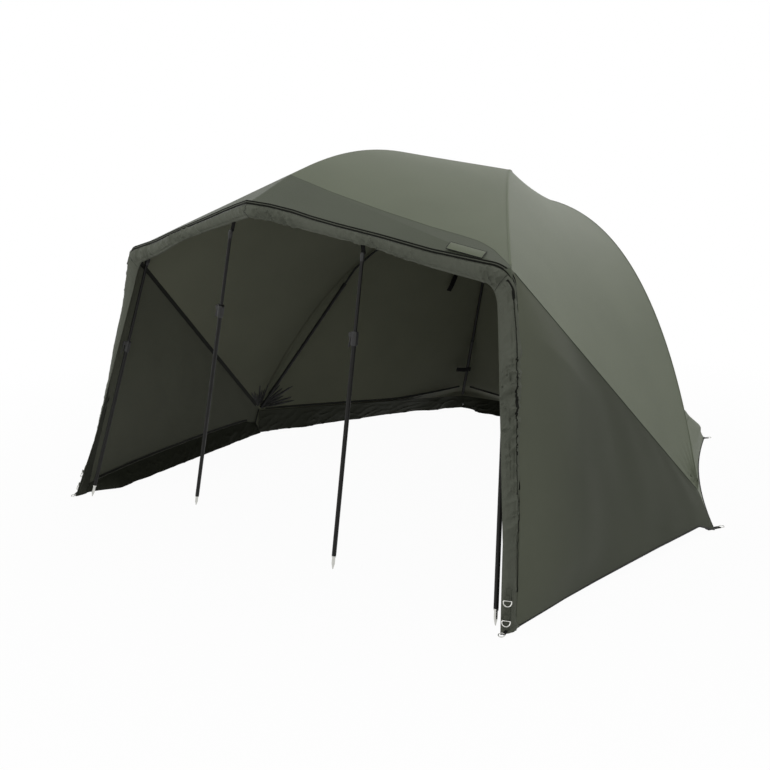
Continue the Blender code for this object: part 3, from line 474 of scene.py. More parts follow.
paint = {
    "outer": woven("canopy_cloth", OUTER, 0.54, 0.15),
    "visor": woven("visor_shaded_cloth", VISOR_SHADED, 0.52, 0.2),
    "inner": woven("canopy_inside", INNER, 0.62, 0.2),
    # Darker than the canopy cloth: partly the side panels' own tone, partly painted shade for the steep
    # walls; the front carries painted light
    "wall": woven("wall_cloth", srgb(80, 83, 72), 0.6, 0.1, painted_light_span=(-1.33, -0.98)),
    "band": woven("band_cloth", srgb(92, 95, 84), 0.62, 0.18, crumple=0.005),
    "wall_inner": woven("wall_inside", srgb(97, 99, 86), 0.62, 0.15),
    "flap": woven("flap_cloth", srgb(52, 54, 45), 0.62, 0.12, crumple=0.003),
    "tape": stitched("seam_tape", srgb(27, 28, 23), (0.12, 0.88), TAPE_WIDTH),
    "inner_tape": stitched("inner_tape", INNER, (0.15, 0.85), INNER_TAPE_WIDTH, thread_share=0.6),
    "felled": stitched("felled_seam", OUTER, (0.25, 0.75), FELLED_WIDTH),
    "hook": stitched("hook_tape", srgb(14, 14, 13), (0.1, 0.9), HOOK_WIDTH, rough=0.85),
    "webbing": stitched("webbing", BLACK, (0.15, 0.85), 0.025, thread_share=2.2),
    "visor_cord": woven("visor_piping", shaded(VISOR_SHADED, 0.55), 0.6, 0.3),
    "zip": zipped("zip_tape", srgb(20, 21, 17), ZIP_WIDTH),
    "cord": woven("edge_cord", BLACK, 0.6, 0.3, pitch=0.002, weave=0.0003),
    "strap": stitched("strap_cloth", srgb(80, 83, 73), (0.14, 0.86), STRAP_WIDTH, thread_share=0.45),
    "rib": coated("rib_paint", srgb(14, 14, 12), (0.53, 0.72), **PAINT),
    "rod": coated("rod_paint", srgb(20, 20, 18), (0.38, 0.57), **PAINT),
    "plastic": coated("black_plastic", srgb(26, 26, 25), (0.44, 0.6), specular=0.45, wear=(60.0, 4.0, 0.6),
                      edges=(0.6, 0.75, 0.0, 0.5), paler=1.9, grain=1400.0, depth=0.00012),
    "steel": bright_steel("bright_steel", srgb(205, 205, 200)),
}


# Making pieces


def grid_normals(grid):
    normals = np.cross(np.gradient(grid, axis=1), np.gradient(grid, axis=0))
    lengths = np.linalg.norm(normals, axis=2, keepdims=True)
    return normals / np.maximum(lengths, 1e-12)


def outward_normals(grid):
    """Normals that face away from the inside of the shelter."""
    normals = grid_normals(grid)
    return -normals if np.sum((grid - INSIDE) * normals) < 0.0 else normals


def raised(grid, heights):
    """Moves a sheet's points along its normals."""
    return grid + grid_normals(grid) * heights[..., None]


def cloth_lengths(grid):
    """How far each point lies across and down the cloth."""
    for axis in (1, 0):
        steps = np.linalg.norm(np.diff(grid, axis=axis), axis=2)
        yield np.cumsum(np.pad(steps, [(1 - axis, 0), (axis, 0)]), axis=axis)


def placed(name, data):
    made = bpy.data.objects.new(name, data)
    bpy.context.scene.collection.objects.link(made)
    return made


def new_piece(name, points, faces, finishes, uvs, spots=None):
    """A mesh with one slot for each finish. Spots gives each face's slot."""
    mesh = bpy.data.meshes.new(name)
    mesh.from_pydata([tuple(p) for p in np.asarray(points) + SHIFT], [], faces)
    for finish in finishes:
        mesh.materials.append(paint[finish])
    if spots is not None:
        mesh.polygons.foreach_set("material_index", spots)
    layer = mesh.uv_layers.new(name="metres")
    corners = np.empty(len(mesh.loops), dtype=np.int32)
    mesh.loops.foreach_get("vertex_index", corners)
    layer.data.foreach_set("uv", np.asarray(uvs)[corners].ravel())
    mesh.shade_smooth()
    mesh.set_sharp_from_angle(angle=SHARP)
    mesh.validate()
    return placed(name, mesh)


def shell(name, grid, outer, inner, finishes, away=INSIDE):
    """A closed skin about a grid of points: outer and inner are its reach to each side."""
    grid = np.asarray(grid, dtype=float)
    normals = grid_normals(grid)
    if np.sum((grid - away) * normals) < 0.0:
        grid = grid[:, ::-1]
        outer, inner = (np.asarray(x)[:, ::-1] if np.ndim(x) == 2 else x for x in (outer, inner))
        normals = grid_normals(grid)
    rows, columns = grid.shape[:2]
    outer, inner = (np.broadcast_to(x, (rows, columns))[..., None] for x in (outer, inner))
    points = np.concatenate((grid + normals * outer, grid - normals * inner)).reshape(-1, 3)
    uv = np.stack(list(cloth_lengths(grid)), axis=2).reshape(-1, 2)
    back = rows * columns
    faces, spots = [], []
    for r in range(rows - 1):
        for c in range(columns - 1):
            a, b = r * columns + c, r * columns + c + 1
            d, e = a + columns, b + columns
            faces += [(a, d, e, b), (back + a, back + b, back + e, back + d)]
            spots += [0, min(1, len(finishes) - 1)]
    rim = list(range(columns)) + [r * columns + columns - 1 for r in range(1, rows)]
    rim += [(rows - 1) * columns + c for c in range(columns - 2, -1, -1)]
    rim += [r * columns for r in range(rows - 2, 0, -1)]
    faces += [(a, b, back + b, back + a) for a, b in zip(rim, rim[1:] + rim[:1])]
    spots += [0] * len(rim)
    made = new_piece(name, points, faces, finishes, np.concatenate((uv, uv)), spots)
    mesh = bmesh.new()
    mesh.from_mesh(made.data)
    bmesh.ops.recalc_face_normals(mesh, faces=mesh.faces)
    mesh.to_mesh(made.data)
    mesh.free()
    return made


def strip(name, points, normals, width, lift, thick, finish, columns=4):
    """A flat tape along a line, square to the normals and lifted along them. One normal may serve all."""
    points = np.asarray(points)
    normals = np.array(np.broadcast_to(normals, points.shape), dtype=float)
    middle = points.mean(axis=0) - normals.mean(axis=0) * 5.0
    points = points + normals * lift
    across = units(np.cross(normals, units(np.gradient(points, axis=0))))
    shares = np.linspace(-0.5, 0.5, columns)
    grid = points[:, None] + across[:, None] * (shares[None, :, None] * width)
    return shell(name, grid, thick / 2.0, thick / 2.0, [finish], away=middle)


def tube(name, points, radius, finish, sides=8, closed=False):
    """A round cord along points."""
    points = np.asarray(points, dtype=float)
    count = len(points)
    if closed:
        along = np.roll(points, -1, axis=0) - np.roll(points, 1, axis=0)
    else:
        along = np.gradient(points, axis=0)
    along = units(along)
    side = unit(np.cross(along[0], (0.31, 0.17, 0.93)))
    rings, uvs = [], []
    steps = np.concatenate(([0.0], np.cumsum(np.linalg.norm(np.diff(points, axis=0), axis=1))))
    for k in range(count):
        side = unit(side - along[k] * side.dot(along[k]))
        other = np.cross(along[k], side)
        for s in range(sides):
            angle = 2.0 * math.pi * s / sides
            rings.append(points[k] + (side * math.cos(angle) + other * math.sin(angle)) * radius)
            uvs.append((s / sides * 2.0 * math.pi * radius, steps[k]))
    faces = []
    for k in range(count if closed else count - 1):
        for s in range(sides):
            a, b = k * sides + s, k * sides + (s + 1) % sides
            c, d = ((k + 1) % count) * sides + s, ((k + 1) % count) * sides + (s + 1) % sides
            faces.append((a, b, d, c))
    if not closed:
        faces.append(tuple(range(sides))[::-1])
        faces.append(tuple((count - 1) * sides + s for s in range(sides)))
    return new_piece(name, rings, faces, [finish], uvs)


def skin(name, grid, stands_for, outside="outer", inside="inner"):
    """A sheet of cloth in the place of one of the frame's nodes."""
    piece = shell(name, grid, FABRIC / 2.0, FABRIC / 2.0, [outside, inside])
    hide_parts(stands_for)
    return piece


def hang(place, slot, *pieces):
    """Lets pieces move with a body, and gives each its own mesh where a place names a fold."""
    body, fold, axis, pin = place
    for piece in pieces:
        if fold:
            tuple(axis)
            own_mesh(piece)
        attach(piece, body)


def eased(points):
    """Cloth at the rear corners, drawn out by its peg so that it leaves the rib's end."""
    points = np.array(points, dtype=float)
    for sign in (-1.0, 1.0):
        distance = np.linalg.norm(points - mirrored(REAR_EAVE, sign), axis=-1)
        share = np.clip(1.0 - distance / REAR_EASE_REACH, 0.0, 1.0) ** REAR_EASE_POWER
        share = share * np.clip(points[..., 2] / 0.05, 0.0, 1.0)
        points += share[..., None] * mirrored(REAR_EASE, sign)
    return points


def on_seam(name, seam, beside, start, end, width, finish, lift=-0.0012):
    """A tape folded over a seam, on the gores towards the two seams beside. Lift is inwards."""
    rows = []
    for t in np.linspace(start, end, 90):
        middle, along = seam.at(t), seam.tangent(t)
        ways = (other.at(t) - middle for other in beside)
        first, last = (unit(way - along * way.dot(along)) * width / 2.0 for way in ways)
        row = middle + (first, first * 0.5, np.zeros(3), last * 0.5, last)
        rows.append(row + seam.inward(t) * lift)
    return shell(name, eased(np.array(rows)), TAPE_THICK / 2.0, TAPE_THICK / 2.0, [finish])


def cloth(piece, grid, rests_on, on_it, held="stretched"):
    """Measures a sheet across and down over its middle surface."""
    across, down = cloth_lengths(grid)
    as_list(rests_on)
    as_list(on_it)


# The frame's own pieces

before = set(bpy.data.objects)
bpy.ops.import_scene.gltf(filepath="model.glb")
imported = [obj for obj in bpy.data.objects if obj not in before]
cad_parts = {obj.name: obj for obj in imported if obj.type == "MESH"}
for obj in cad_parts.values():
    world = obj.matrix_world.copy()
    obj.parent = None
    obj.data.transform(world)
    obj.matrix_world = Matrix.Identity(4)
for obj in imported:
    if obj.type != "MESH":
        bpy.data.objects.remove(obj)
CAD_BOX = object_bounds()

seams = {"centre": Seam(MOUTH_PEAK, CENTRE_LINE)}
for word, sign in SIDES:
    seams["corner_" + word] = Seam(CORNER, CORNER_LINE, sign)
    seams["side_" + word] = Seam(SIDE_EAVE, SIDE_LINE, sign)
    seams["rear_" + word] = Seam(REAR_EAVE, REAR_LINE, sign)
centre = seams["centre"]
FOLD_SHARE = centre.share_where(lambda t: centre.at(t)[1] <= MOUTH_PEAK[1] + VISOR_DEPTH)
FRAME_FINISHES = (("spike", "steel"), ("ring", "steel"), ("rib", "rib"), ("sleeve", "rib"), ("upper", "rod"),
                  ("lower", "rod"), ("", "plastic"))
CENTRE_PLACE = ("centre_rib", "fold_centre", (1.0, 0.0, 0.0), np.zeros(3))


def rib_place(kind, word):
    """A rib's body and fold, with its seam's axis and pin."""
    key = "%s_%s" % (kind, word)
    return "%s_rib_%s" % (kind, word), "fold_" + key, seams[key].axis, seams[key].pin


def pole_place(word):
    """The upper tube of a corner pole, where nothing flattens."""
    return "corner_pole_%s_top" % word, None, None, None


def dress_frame():
    for name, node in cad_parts.items():
        finish = next(finish for part, finish in FRAME_FINISHES if part in name)
        for place in node.material_slots:
            place.material = paint[finish]


dress_frame()


# Canopy


def crowded(side=None):
    """Shares across a gore, which may be finer and crowd towards the seam on one side."""
    if side is None:
        return evenly(45)
    shares = evenly(81)
    return shares ** CROWD_ACROSS if side == "left" else 1.0 - (1.0 - shares) ** CROWD_ACROSS


def gore_grid(left, right, depth=SADDLE, left_end=1.0, crowd=None):
    """A gore between two seams, which dips by depth in its middle."""
    first_a, first_b = left.share_at(CANOPY_START), right.share_at(CANOPY_START)
    across = crowded(crowd)[:, None]
    downs = 1.0 - (1.0 - evenly(85)) ** CROWD_DOWN if crowd else evenly(57)
    grid = np.zeros((len(downs), len(across), 3))
    for r, share in enumerate(downs):
        a, b = mix(first_a, left_end, share), mix(first_b, 1.0, share)
        dish = unit(left.inward(a) + right.inward(b)) * depth * bulge(share)
        grid[r] = mix(left.at(a), right.at(b), across) + dish * bulge(across)
    return grid


def skirted(grid, left_peg, right_peg, shares, steps=14):
    """Adds the skirt below an eave, which curves inwards to the ground."""
    eave = grid[-1]
    pull = ground_pull(left_peg, right_peg) * SKIRT_CURVE
    ground = np.array([mix(left_peg, right_peg, k) + pull * bulge(k) for k in shares])
    ground[:, 2] = FABRIC / 2.0
    rows = [mix(eave, ground, k / steps) for k in range(1, steps + 1)]
    return np.concatenate((grid, np.array(rows)))


def puckered(grid, spot, reach, depth, count, seed, held_edge=False):
    """Creases that run out from a point where the cloth is pulled."""
    offset = grid - spot
    distance = np.linalg.norm(offset, axis=2)
    middle = grid_normals(grid).reshape(-1, 3).mean(axis=0)
    side = unit(np.cross(middle, UP))
    other = np.cross(middle, side)
    angle = np.arctan2(offset @ other, offset @ side)
    draw = np.random.default_rng(seed)
    field = np.zeros_like(distance)
    for k in range(3):
        turn = count * draw.uniform(0.7, 1.4)
        field += np.sin(angle * turn + draw.uniform(0.0, 6.0)) / (k + 1.0)
    reaches = np.clip(1.0 - distance / reach, 0.0, 1.0) ** 2 * np.clip(distance / (0.12 * reach), 0.0, 1.0)
    columns = grid.shape[1]
    beside = np.minimum(np.arange(columns), np.arange(columns)[::-1]) / 2.5
    reaches = reaches * np.clip(beside, 0.0, 1.0)[None]
    if held_edge:
        reaches = reaches * np.clip(np.arange(len(grid))[::-1] / 4.0, 0.0, 1.0)[:, None]
    return raised(grid, field * reaches * depth)


def gathers(name, grid, spot, first, last, reach, folds=7, rows=9):
    """A fan of small sewn pleats inside, where the cloth is drawn to a rib's end. They are black: painted
    shade in the deep folds.
    """
    points = grid.reshape(-1, 3)
    points = points[np.linalg.norm(points - spot, axis=1) < reach * 1.6]
    ways = unit(first - spot), unit(last - spot)
    inward = unit(INSIDE - spot)
    columns = folds * 6 + 1
    fan = np.zeros((rows, columns, 3))
    for c in range(columns):
        turn = c / (columns - 1)
        phase = 2.0 * math.pi * folds * turn
        way = unit(mix(*ways, 0.1 + 0.8 * turn))
        ray = 0.5 - 0.5 * math.cos(phase)
        long = reach * (0.5 + 0.5 * ray) * (0.82 + 0.18 * math.sin(phase * 0.37))
        for r in range(rows):
            share = r / (rows - 1.0)
            target = spot + way * mix(0.02, long, share)
            away = np.linalg.norm(points - target, axis=1)
            near = np.argsort(away)[:6]
            weight = 1.0 / (away[near] + 0.002)
            base = (points[near] * weight[:, None]).sum(axis=0) / weight.sum()
            fan[r, c] = base + inward * (0.0022 + 0.008 * ray * bulge(0.1 + 0.8 * share))
    # The black cord finish is painted shade in the folds
    return shell(name, fan, 0.0005, 0.0005, ["cord"])


def felled(kind, word, beside, end=0.99):
    """The flat stitched seam outside, over a rib."""
    key = "%s_%s" % (kind, word)
    start = seams[key].share_at(0.06)
    return on_seam("seam_" + key, seams[key], beside, start, end, FELLED_WIDTH, "felled")


def canopy():
    for word, sign in SIDES:
        corner, side, rear = (seams["%s_%s" % (kind, word)] for kind in ("corner", "side", "rear"))
        roof = gore_grid(centre, corner, SADDLE * ROOF_SADDLE_SHARE, FOLD_SHARE)
        piece = skin("canopy_roof_" + word, roof, "roof_gore_" + word)
        sewn = [felled("corner", word, (centre, side), 0.985), *ridge_facing(word, roof)]
        hang(rib_place("corner", word), "canopy", piece, *sewn)
        cloth(piece, roof, ["rib_corner_" + word, "rib_centre"], sewn)

        flank = gore_grid(corner, side, crowd="right")
        flank = puckered(flank, side.end, reach=0.24, depth=0.0085, count=34, seed=3, held_edge=True)
        piece = skin("canopy_flank_" + word, flank, "flank_gore_" + word)
        sewn = [
            felled("side", word, (corner, rear)),
            on_seam("tape_rib_side_" + word, side, (corner, rear), 0.42, 0.985, INNER_TAPE_WIDTH,
                    "inner_tape", 0.0036),
            gathers("gathers_painted_shade_flank_" + word, flank, side.end, side.at(0.85), mirrored(CORNER, sign), 0.16)]
        hang(rib_place("side", word), "canopy", piece, *sewn)
        cloth(piece, flank, ["rib_corner_" + word, "rib_side_" + word], sewn)

        side_peg = mirrored(SIDE_PEG, sign)
        back = gore_grid(side, rear, crowd="left")
        back = puckered(back, side.end, reach=0.26, depth=0.008, count=30, seed=4)
        back = eased(skirted(back, side_peg, mirrored(REAR_PEG, sign), crowded("left")))
        piece = skin("canopy_rear_side_" + word, back, "rear_side_gore_" + word)
        beside = (side, seams["rear_right" if word == "left" else "rear_left"])
        seam = felled("rear", word, beside)
        tape = on_seam("tape_rib_rear_" + word, rear, beside, 0.3, 0.985, 0.014, "tape", 0.0035)
        hem = ground_hem("hem_rear_side_" + word, back)
        eave = eave_tape("tape_eave_" + word, side.end, rear.end)
        fan = gathers("gathers_rear_" + word, back, side.end, side.at(0.85), rear.end, 0.23)
        line = [mix(side.end, side_peg, k) for k in np.linspace(0.04, 0.96, 16)]
        edge = strip("tape_corner_" + word, line, unit((-sign, 0.0, 0.3)), 0.008, 0.0045, TAPE_THICK, "tape")
        hang(rib_place("rear", word), "canopy", piece, seam, tape, fan)
        hang(rib_place("rear", word), "side", hem, eave, edge)
        cloth(piece, back, ["rib_side_" + word, "rib_rear_" + word], [seam, tape, hem, eave, fan, edge])
    back = gore_grid(seams["rear_left"], seams["rear_right"])
    back = eased(skirted(back, mirrored(REAR_PEG, -1.0), mirrored(REAR_PEG, 1.0), crowded()))
    piece = skin("canopy_rear", back, "rear_gore")
    hem = ground_hem("hem_rear", back)
    eave = eave_tape("tape_eave_back", mirrored(REAR_EAVE, -1.0), mirrored(REAR_EAVE, 1.0))
    hang(rib_place("rear", "left"), "canopy", piece)
    hang(rib_place("rear", "left"), "side", hem, eave)
    cloth(piece, back, ["rib_rear_left", "rib_rear_right"], [hem, eave])


def ground_hem(name, grid):
    """The dark cord sewn into a ground edge."""
    points = grid[-1].copy()
    points[:, 2] = np.maximum(points[:, 2], 0.0004) + HEM_CORD
    return tube(name, points, HEM_CORD, "cord")


def eave_tape(name, start, end):
    """The stitched tape inside, where a gore meets its skirt."""
    points = eased([mix(start, end, s) for s in np.linspace(0.03, 0.97, 40)])
    inward = ground_pull(start * (1, 1, 0), end * (1, 1, 0))
    return strip(name, points, inward, 0.012, 0.0022, TAPE_THICK, "tape")


def ridge_facing(word, roof, rows=7):
    """The visor's cloth carried on over the front of a roof gore, with a thin roll on its edge."""
    last, columns = roof.shape[0] - 1, roof.shape[1]
    normals = outward_normals(roof)
    grid = np.zeros((rows, columns, 3))
    for c in range(columns):
        high = float(np.interp(c / (columns - 1), *RIDGE_SHARES))
        for r in range(rows):
            level = mix(1.0, high - 0.004, r / (rows - 1.0)) * last
            low = min(int(level), last - 1)
            grid[r, c] = mix(roof[low, c], roof[low + 1, c], level - low) + normals[low, c] * 0.0014
    return (shell("visor_facing_" + word, grid, 0.0005, 0.0005, ["visor"]),
            tube("ridge_piping_" + word, grid[-1] + normals[-1] * 0.0002, 0.0009, "visor"))


def visor(rows=20):
    top = centre.at(FOLD_SHARE)
    reach = CORNER[0] - 0.0035
    xs = np.linspace(-reach, reach, 241)
    low = np.array([front_edge(x) for x in xs])
    high = np.array([mouth_point(x) + (top - MOUTH_PEAK) * (1.0 - abs(x) / CORNER[0]) for x in xs])
    high += (0.0, -0.0004, 0.0014)
    grid = np.array([mix(high, low, r / rows) for r in range(rows + 1)])
    u, v = cloth_lengths(grid)
    grid = raised(grid, ripples(u, v, 0.22, 8, 1.2, 0.25) * 0.0012 * evenly(rows + 1)[:, None] ** 2)
    piece = skin("canopy_visor", grid, "visor", "visor")

    # A plain patch near the right corner
    a, b, c, d = (np.array(corner) for corner in PATCH)
    shares, downs = evenly(25), evenly(9)
    patch = np.array([[mix(mix(a, b, s), mix(d, c, s), t) for s in shares] for t in downs])
    up = unit(np.cross(b - a, d - a))
    patch = patch + up * (0.0028 + 0.003 * bulge(downs[:, None, None]))
    label = shell("patch_plain", patch, 0.0006, 0.001, ["outer"])
    rim = np.concatenate((patch[0], patch[1:, -1], patch[-1, -2::-1], patch[-2:0:-1, 0]))
    border = tube("patch_stitch", rim + up * 0.0004, 0.0012, "cord", sides=6, closed=True)
    hang(CENTRE_PLACE, "canopy", piece, label, border)
    cloth(piece, grid, ["rib_centre"], [label, border])


def walls(rows=60, columns=90):
    for word, sign in SIDES:
        grid = np.array([[side_point(sign, c / columns, r / rows) for c in range(columns + 1)]
                         for r in range(rows + 1)])
        grid[..., 2] = np.maximum(grid[..., 2], FABRIC)
        u, v = cloth_lengths(grid)
        down, along = (np.minimum(1.0, 2.5 * bulge(evenly(n))) for n in grid.shape[:2])
        grid = raised(grid, ripples(u, v, 0.32, 21, 0.2) * 0.002 * (along[None, :] * down[:, None]))
        outward = unit((sign, -0.15, 0.1))
        share = np.clip(u / WALL_BULGE_REACH, 0.0, 1.0)
        # The 6.75 makes one of the top of share * (1 - share) ** 2, which is at a third of the reach
        full = WALL_BULGES[word] * 6.75 * share * (1.0 - share) ** 2
        full = full * np.minimum(1.0, bulge(v / v[-1]) * 2.0)
        grid = grid + outward * full[..., None]
        piece = skin("wall_side_" + word, grid, "side_panel_" + word, "wall", "wall_inner")

        start, end = mirrored(CORNER, sign), mirrored(SIDE_EAVE, sign)
        line = np.array([mix(start, end, s) for s in np.linspace(0.012, 0.985, 60)])
        piping = tube("seam_piping_" + word, line + outward * 0.001, 0.0013, "visor_cord")
        tape = strip("tape_side_" + word, line[2:-1], unit([-sign, 0.25, -0.35]), TAPE_WIDTH, 0.006,
                     TAPE_THICK, "tape")
        hem = ground_hem("hem_wall_" + word, grid)
        low = np.array([side_point(sign, s, 1.0 - mix(0.056, 0.072, s) / mix(CORNER[2], SIDE_EAVE[2], s))
                        for s in np.linspace(0.03, 0.93, 60)])
        border = np.zeros((rows - 3, len(WALL_BORDER), 3))
        for row in range(len(border)):
            for column, reach in enumerate(WALL_BORDER):
                spot = np.interp(reach, u[row + 2], np.arange(columns + 1))
                left = min(int(spot), columns - 1)
                border[row, column] = mix(grid[row + 2, left], grid[row + 2, left + 1], spot - left)
        border = shell("wall_border_" + word, border + outward * 0.0014, 0.0005, 0.0005, ["wall"])
        foot = strip("tape_foot_" + word, low, -outward, 0.01, 0.003, TAPE_THICK, "tape")
        on_it = [piping, tape, hem, foot, border]
        hang(rib_place("side", word), "side", piece, *on_it)
        cloth(piece, grid, ["corner_pole_%s_head" % word, "rib_side_" + word], on_it)


canopy()
visor()
walls()


# The padded hem band, which runs round the front corners and down to the feet


def curved(a, b, c, t):
    """A point of the curve from a to c that b draws."""
    return a * (1 - t) ** 2 + b * 2 * t * (1 - t) + c * t * t


def band_grid(columns=17):
    """The band's middle surface on the right side, from the peak to the foot."""
    corner, peg = np.array(CORNER), np.array(FRONT_PEG)
    inner_head, turn_inner = corner + np.array(LEG_BAND_INNER), corner + np.array(INNER_TURN)
    outer = [front_edge(x) for x in np.linspace(0.0, FRONT_TURN, FRONT_POINTS)]
    inner = [front_edge(x) + BAND_DROP * shaped(BAND_DEPTHS, x)
             for x in np.linspace(0.0, FRONT_INNER_TURN, FRONT_POINTS)]
    middle = [mix(a, b, 0.5) + (0.0, -0.01, 0.0) for a, b in zip(outer, inner)]
    legs = [], [], []
    for d in np.linspace(LEG_TURN, 1.0, LEG_POINTS):
        front = side_point(1.0, 0.0, d)
        back = unit(side_point(1.0, 0.1, d) - front)
        a = front + back * shaped(LEG_ZIPS, d) + (0.0035, 0.0, 0.0016 * d)
        c = mix(inner_head, peg, d) + (0.0, shaped(LEG_INNERS, d), 0.004 * d)
        for leg, point in zip(legs, (a, mix(mix(a, c, 0.5), front, 1.5), c)):
            leg.append(point)
    turn_outer = corner + (0.004, -0.004, 0.0)
    turn_middle = mix(mix(corner, turn_inner, 0.5), corner + (0.0, -0.02, -0.01), 0.8)
    shares = evenly(TURN_POINTS + 2)[1:-1]
    outer, middle, inner = (
        np.array(line + [curved(line[-1], turn, leg[0], t) for t in shares] + leg)[:, None]
        for line, turn, leg in zip((outer, middle, inner), (turn_outer, turn_middle, turn_inner), legs))
    return curved(outer, middle, inner, evenly(columns)[None, :, None])


def corner_gussets():
    """The cloth that fills each front corner, between the visor, the wall and the band."""
    low = band[GUSSET_START:FRONT_POINTS + TURN_POINTS + GUSSET_LEG + 1, 0]
    count = len(low)
    xs = np.linspace(FRONT_TURN * (GUSSET_START - 1) / (FRONT_POINTS - 1), CORNER[0], count // 2 + 1)
    depth = LEG_TURN + (1.0 - LEG_TURN) * GUSSET_LEG / (LEG_POINTS - 1)
    high = [front_edge(x) for x in xs]
    high += [side_point(1.0, 0.0, d) for d in np.linspace(0.0, depth, count - len(high) + 1)[1:]]
    shares = evenly(9)
    grid = np.array([mix(np.array(high), low, k) for k in shares])
    puff = np.sin(math.pi * evenly(count))[None, :, None] * bulge(shares)[:, None, None]
    grid = grid + unit((0.75, -0.55, 0.35)) * puff * 0.004
    for word, sign in SIDES:
        piece = shell("corner_gusset_" + word, grid * (sign, 1.0, 1.0), 0.0012, 0.0008, ["visor"])
        hang(pole_place(word), "canopy", piece)


def band_depths(grid, seed, soft_end, rough, long_folds=0.0, groove_at=0.8):
    """How far the band stands out on each side, with its wrinkles."""
    v, u = cloth_lengths(grid)
    across = evenly(grid.shape[1])[None]
    crown = bulge(across) ** 0.4 * np.clip(u / 0.012, 0.25, 1.0) ** 0.5
    if soft_end:
        crown = crown * np.clip((u[-1:, :] - u) / 0.012, 0.25, 1.0) ** 0.5
    slanted = creases(u, v, 0.075, seed, 0.55, 0.45)
    fine = creases(u, v, 0.03, seed + 1, 0.9, 0.6)
    where = np.clip(ripples(u, v * 0.0, 0.5, seed + 2, 0.0, 0.05) * 0.9 + 0.45, 0.0, 1.0)
    where = 0.2 + 0.8 * where
    wrinkle = (slanted * 0.012 + fine * 0.0048) * where + ripples(u, v, 0.25, seed + 3, 0.1) * 0.0016
    wrinkle = wrinkle * rough + creases(v, u * 0.1, 0.02, seed + 4, 0.0, 0.1) * long_folds
    groove = -0.003 * np.exp(-(((across - groove_at) / 0.05) ** 2))
    return 0.0008 + crown * np.maximum(0.0046 + wrinkle + groove, 0.0002), 0.0006 + crown * 0.003


def padded_band(name, grid, outer, inner, stands_for):
    """A padded piece in the place of one of the frame's bands."""
    piece = shell(name, grid, outer, inner, ["band", "flap"])
    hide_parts(stands_for)
    return piece


def edge_zip(name, grid, normals):
    """A zip laid beside the band: a dark tape with a welt along its middle."""
    middle = grid[:, 0] + units(grid[:, 0] - grid[:, 1]) * (ZIP_WIDTH / 2.0 + 0.0004)
    tape = strip("zip_" + name, middle, normals[:, 0], ZIP_WIDTH, 0.0034, 0.0012, "zip")
    return tape, tube("zip_welt_" + name, middle + normals[:, 0] * 0.0042, WELT, "band")


def front_band():
    right = band[:MITRE + 1]
    grid = np.concatenate((right[:0:-1] * (-1.0, 1.0, 1.0), right))
    outer, inner = band_depths(grid, seed=5, soft_end=True, rough=1.3)
    outer = outer - np.exp(-(grid[..., 0] / 0.007) ** 2) * 0.002
    piece = padded_band("hem_band_front", grid, outer, inner, "front_band")
    normals = outward_normals(grid)
    trims = edge_zip("front", grid, normals)
    row = len(grid) // 2
    ridge = grid[row] + normals[row] * outer[row][:, None]
    seam = tube("band_seam_peak", ridge[1:-1], 0.0009, "cord", sides=6)
    hang(CENTRE_PLACE, "band", piece, *trims, seam)


def pole_tabs():
    """A short loop of tape inside the band, down to each storm pole's knob."""
    for word, x in STORM_TOPS.items():
        start = front_edge(x) + BAND_DROP * (shaped(BAND_DEPTHS, abs(x)) - 0.014)
        end = mouth_point(x) + BAND_DROP * (BAND_WIDTH + 0.01)
        line = [mix(start, end, k) + (0.0, 0.004, 0.0) for k in evenly(8)]
        tab = strip("pole_tab_" + word, line, (0.0, -1.0, -0.2), 0.016, 0.0, HOOK_THICK, "hook")
        hang(CENTRE_PLACE, "band", tab)


def leg_bands():
    for word, sign in SIDES:
        grid = band[MITRE:] * (sign, 1.0, 1.0)
        seed, rough = (15, 1.5) if word == "right" else (25, 0.35)
        outer, inner = band_depths(grid, seed, soft_end=False, rough=rough, long_folds=0.0038 * rough,
                                   groove_at=0.31)
        piece = padded_band("hem_band_leg_" + word, grid, outer, inner, "leg_band_" + word)
        normals = outward_normals(grid)
        end = int(len(grid) * 0.9)
        trims = edge_zip("leg_" + word, grid[:end], normals[:end])
        mitre = grid[0] + normals[0] * outer[0][:, None]
        seam = tube("band_seam_" + word, mitre[1:-1], 0.001, "cord", sides=6)
        way = unit(grid[end, 0] - grid[end, 1])
        head = grid[end, 0] + normals[end, 0] * 0.004 + way * 0.006
        pull = tube("zip_pull_" + word, [head - UP * (0.006 * k) for k in range(6)], 0.0026, "cord")
        line = strip("zip_line_leg_" + word, grid[4:end, 5] + normals[4:end, 5] * outer[4:end, 5, None],
                     normals[4:end, 5], 0.009, 0.0004, TAPE_THICK, "zip")
        hang(pole_place(word), "band", piece, *trims, seam, pull, line)


band = band_grid()
front_band()
pole_tabs()
leg_bands()
corner_gussets()


# Mud flaps


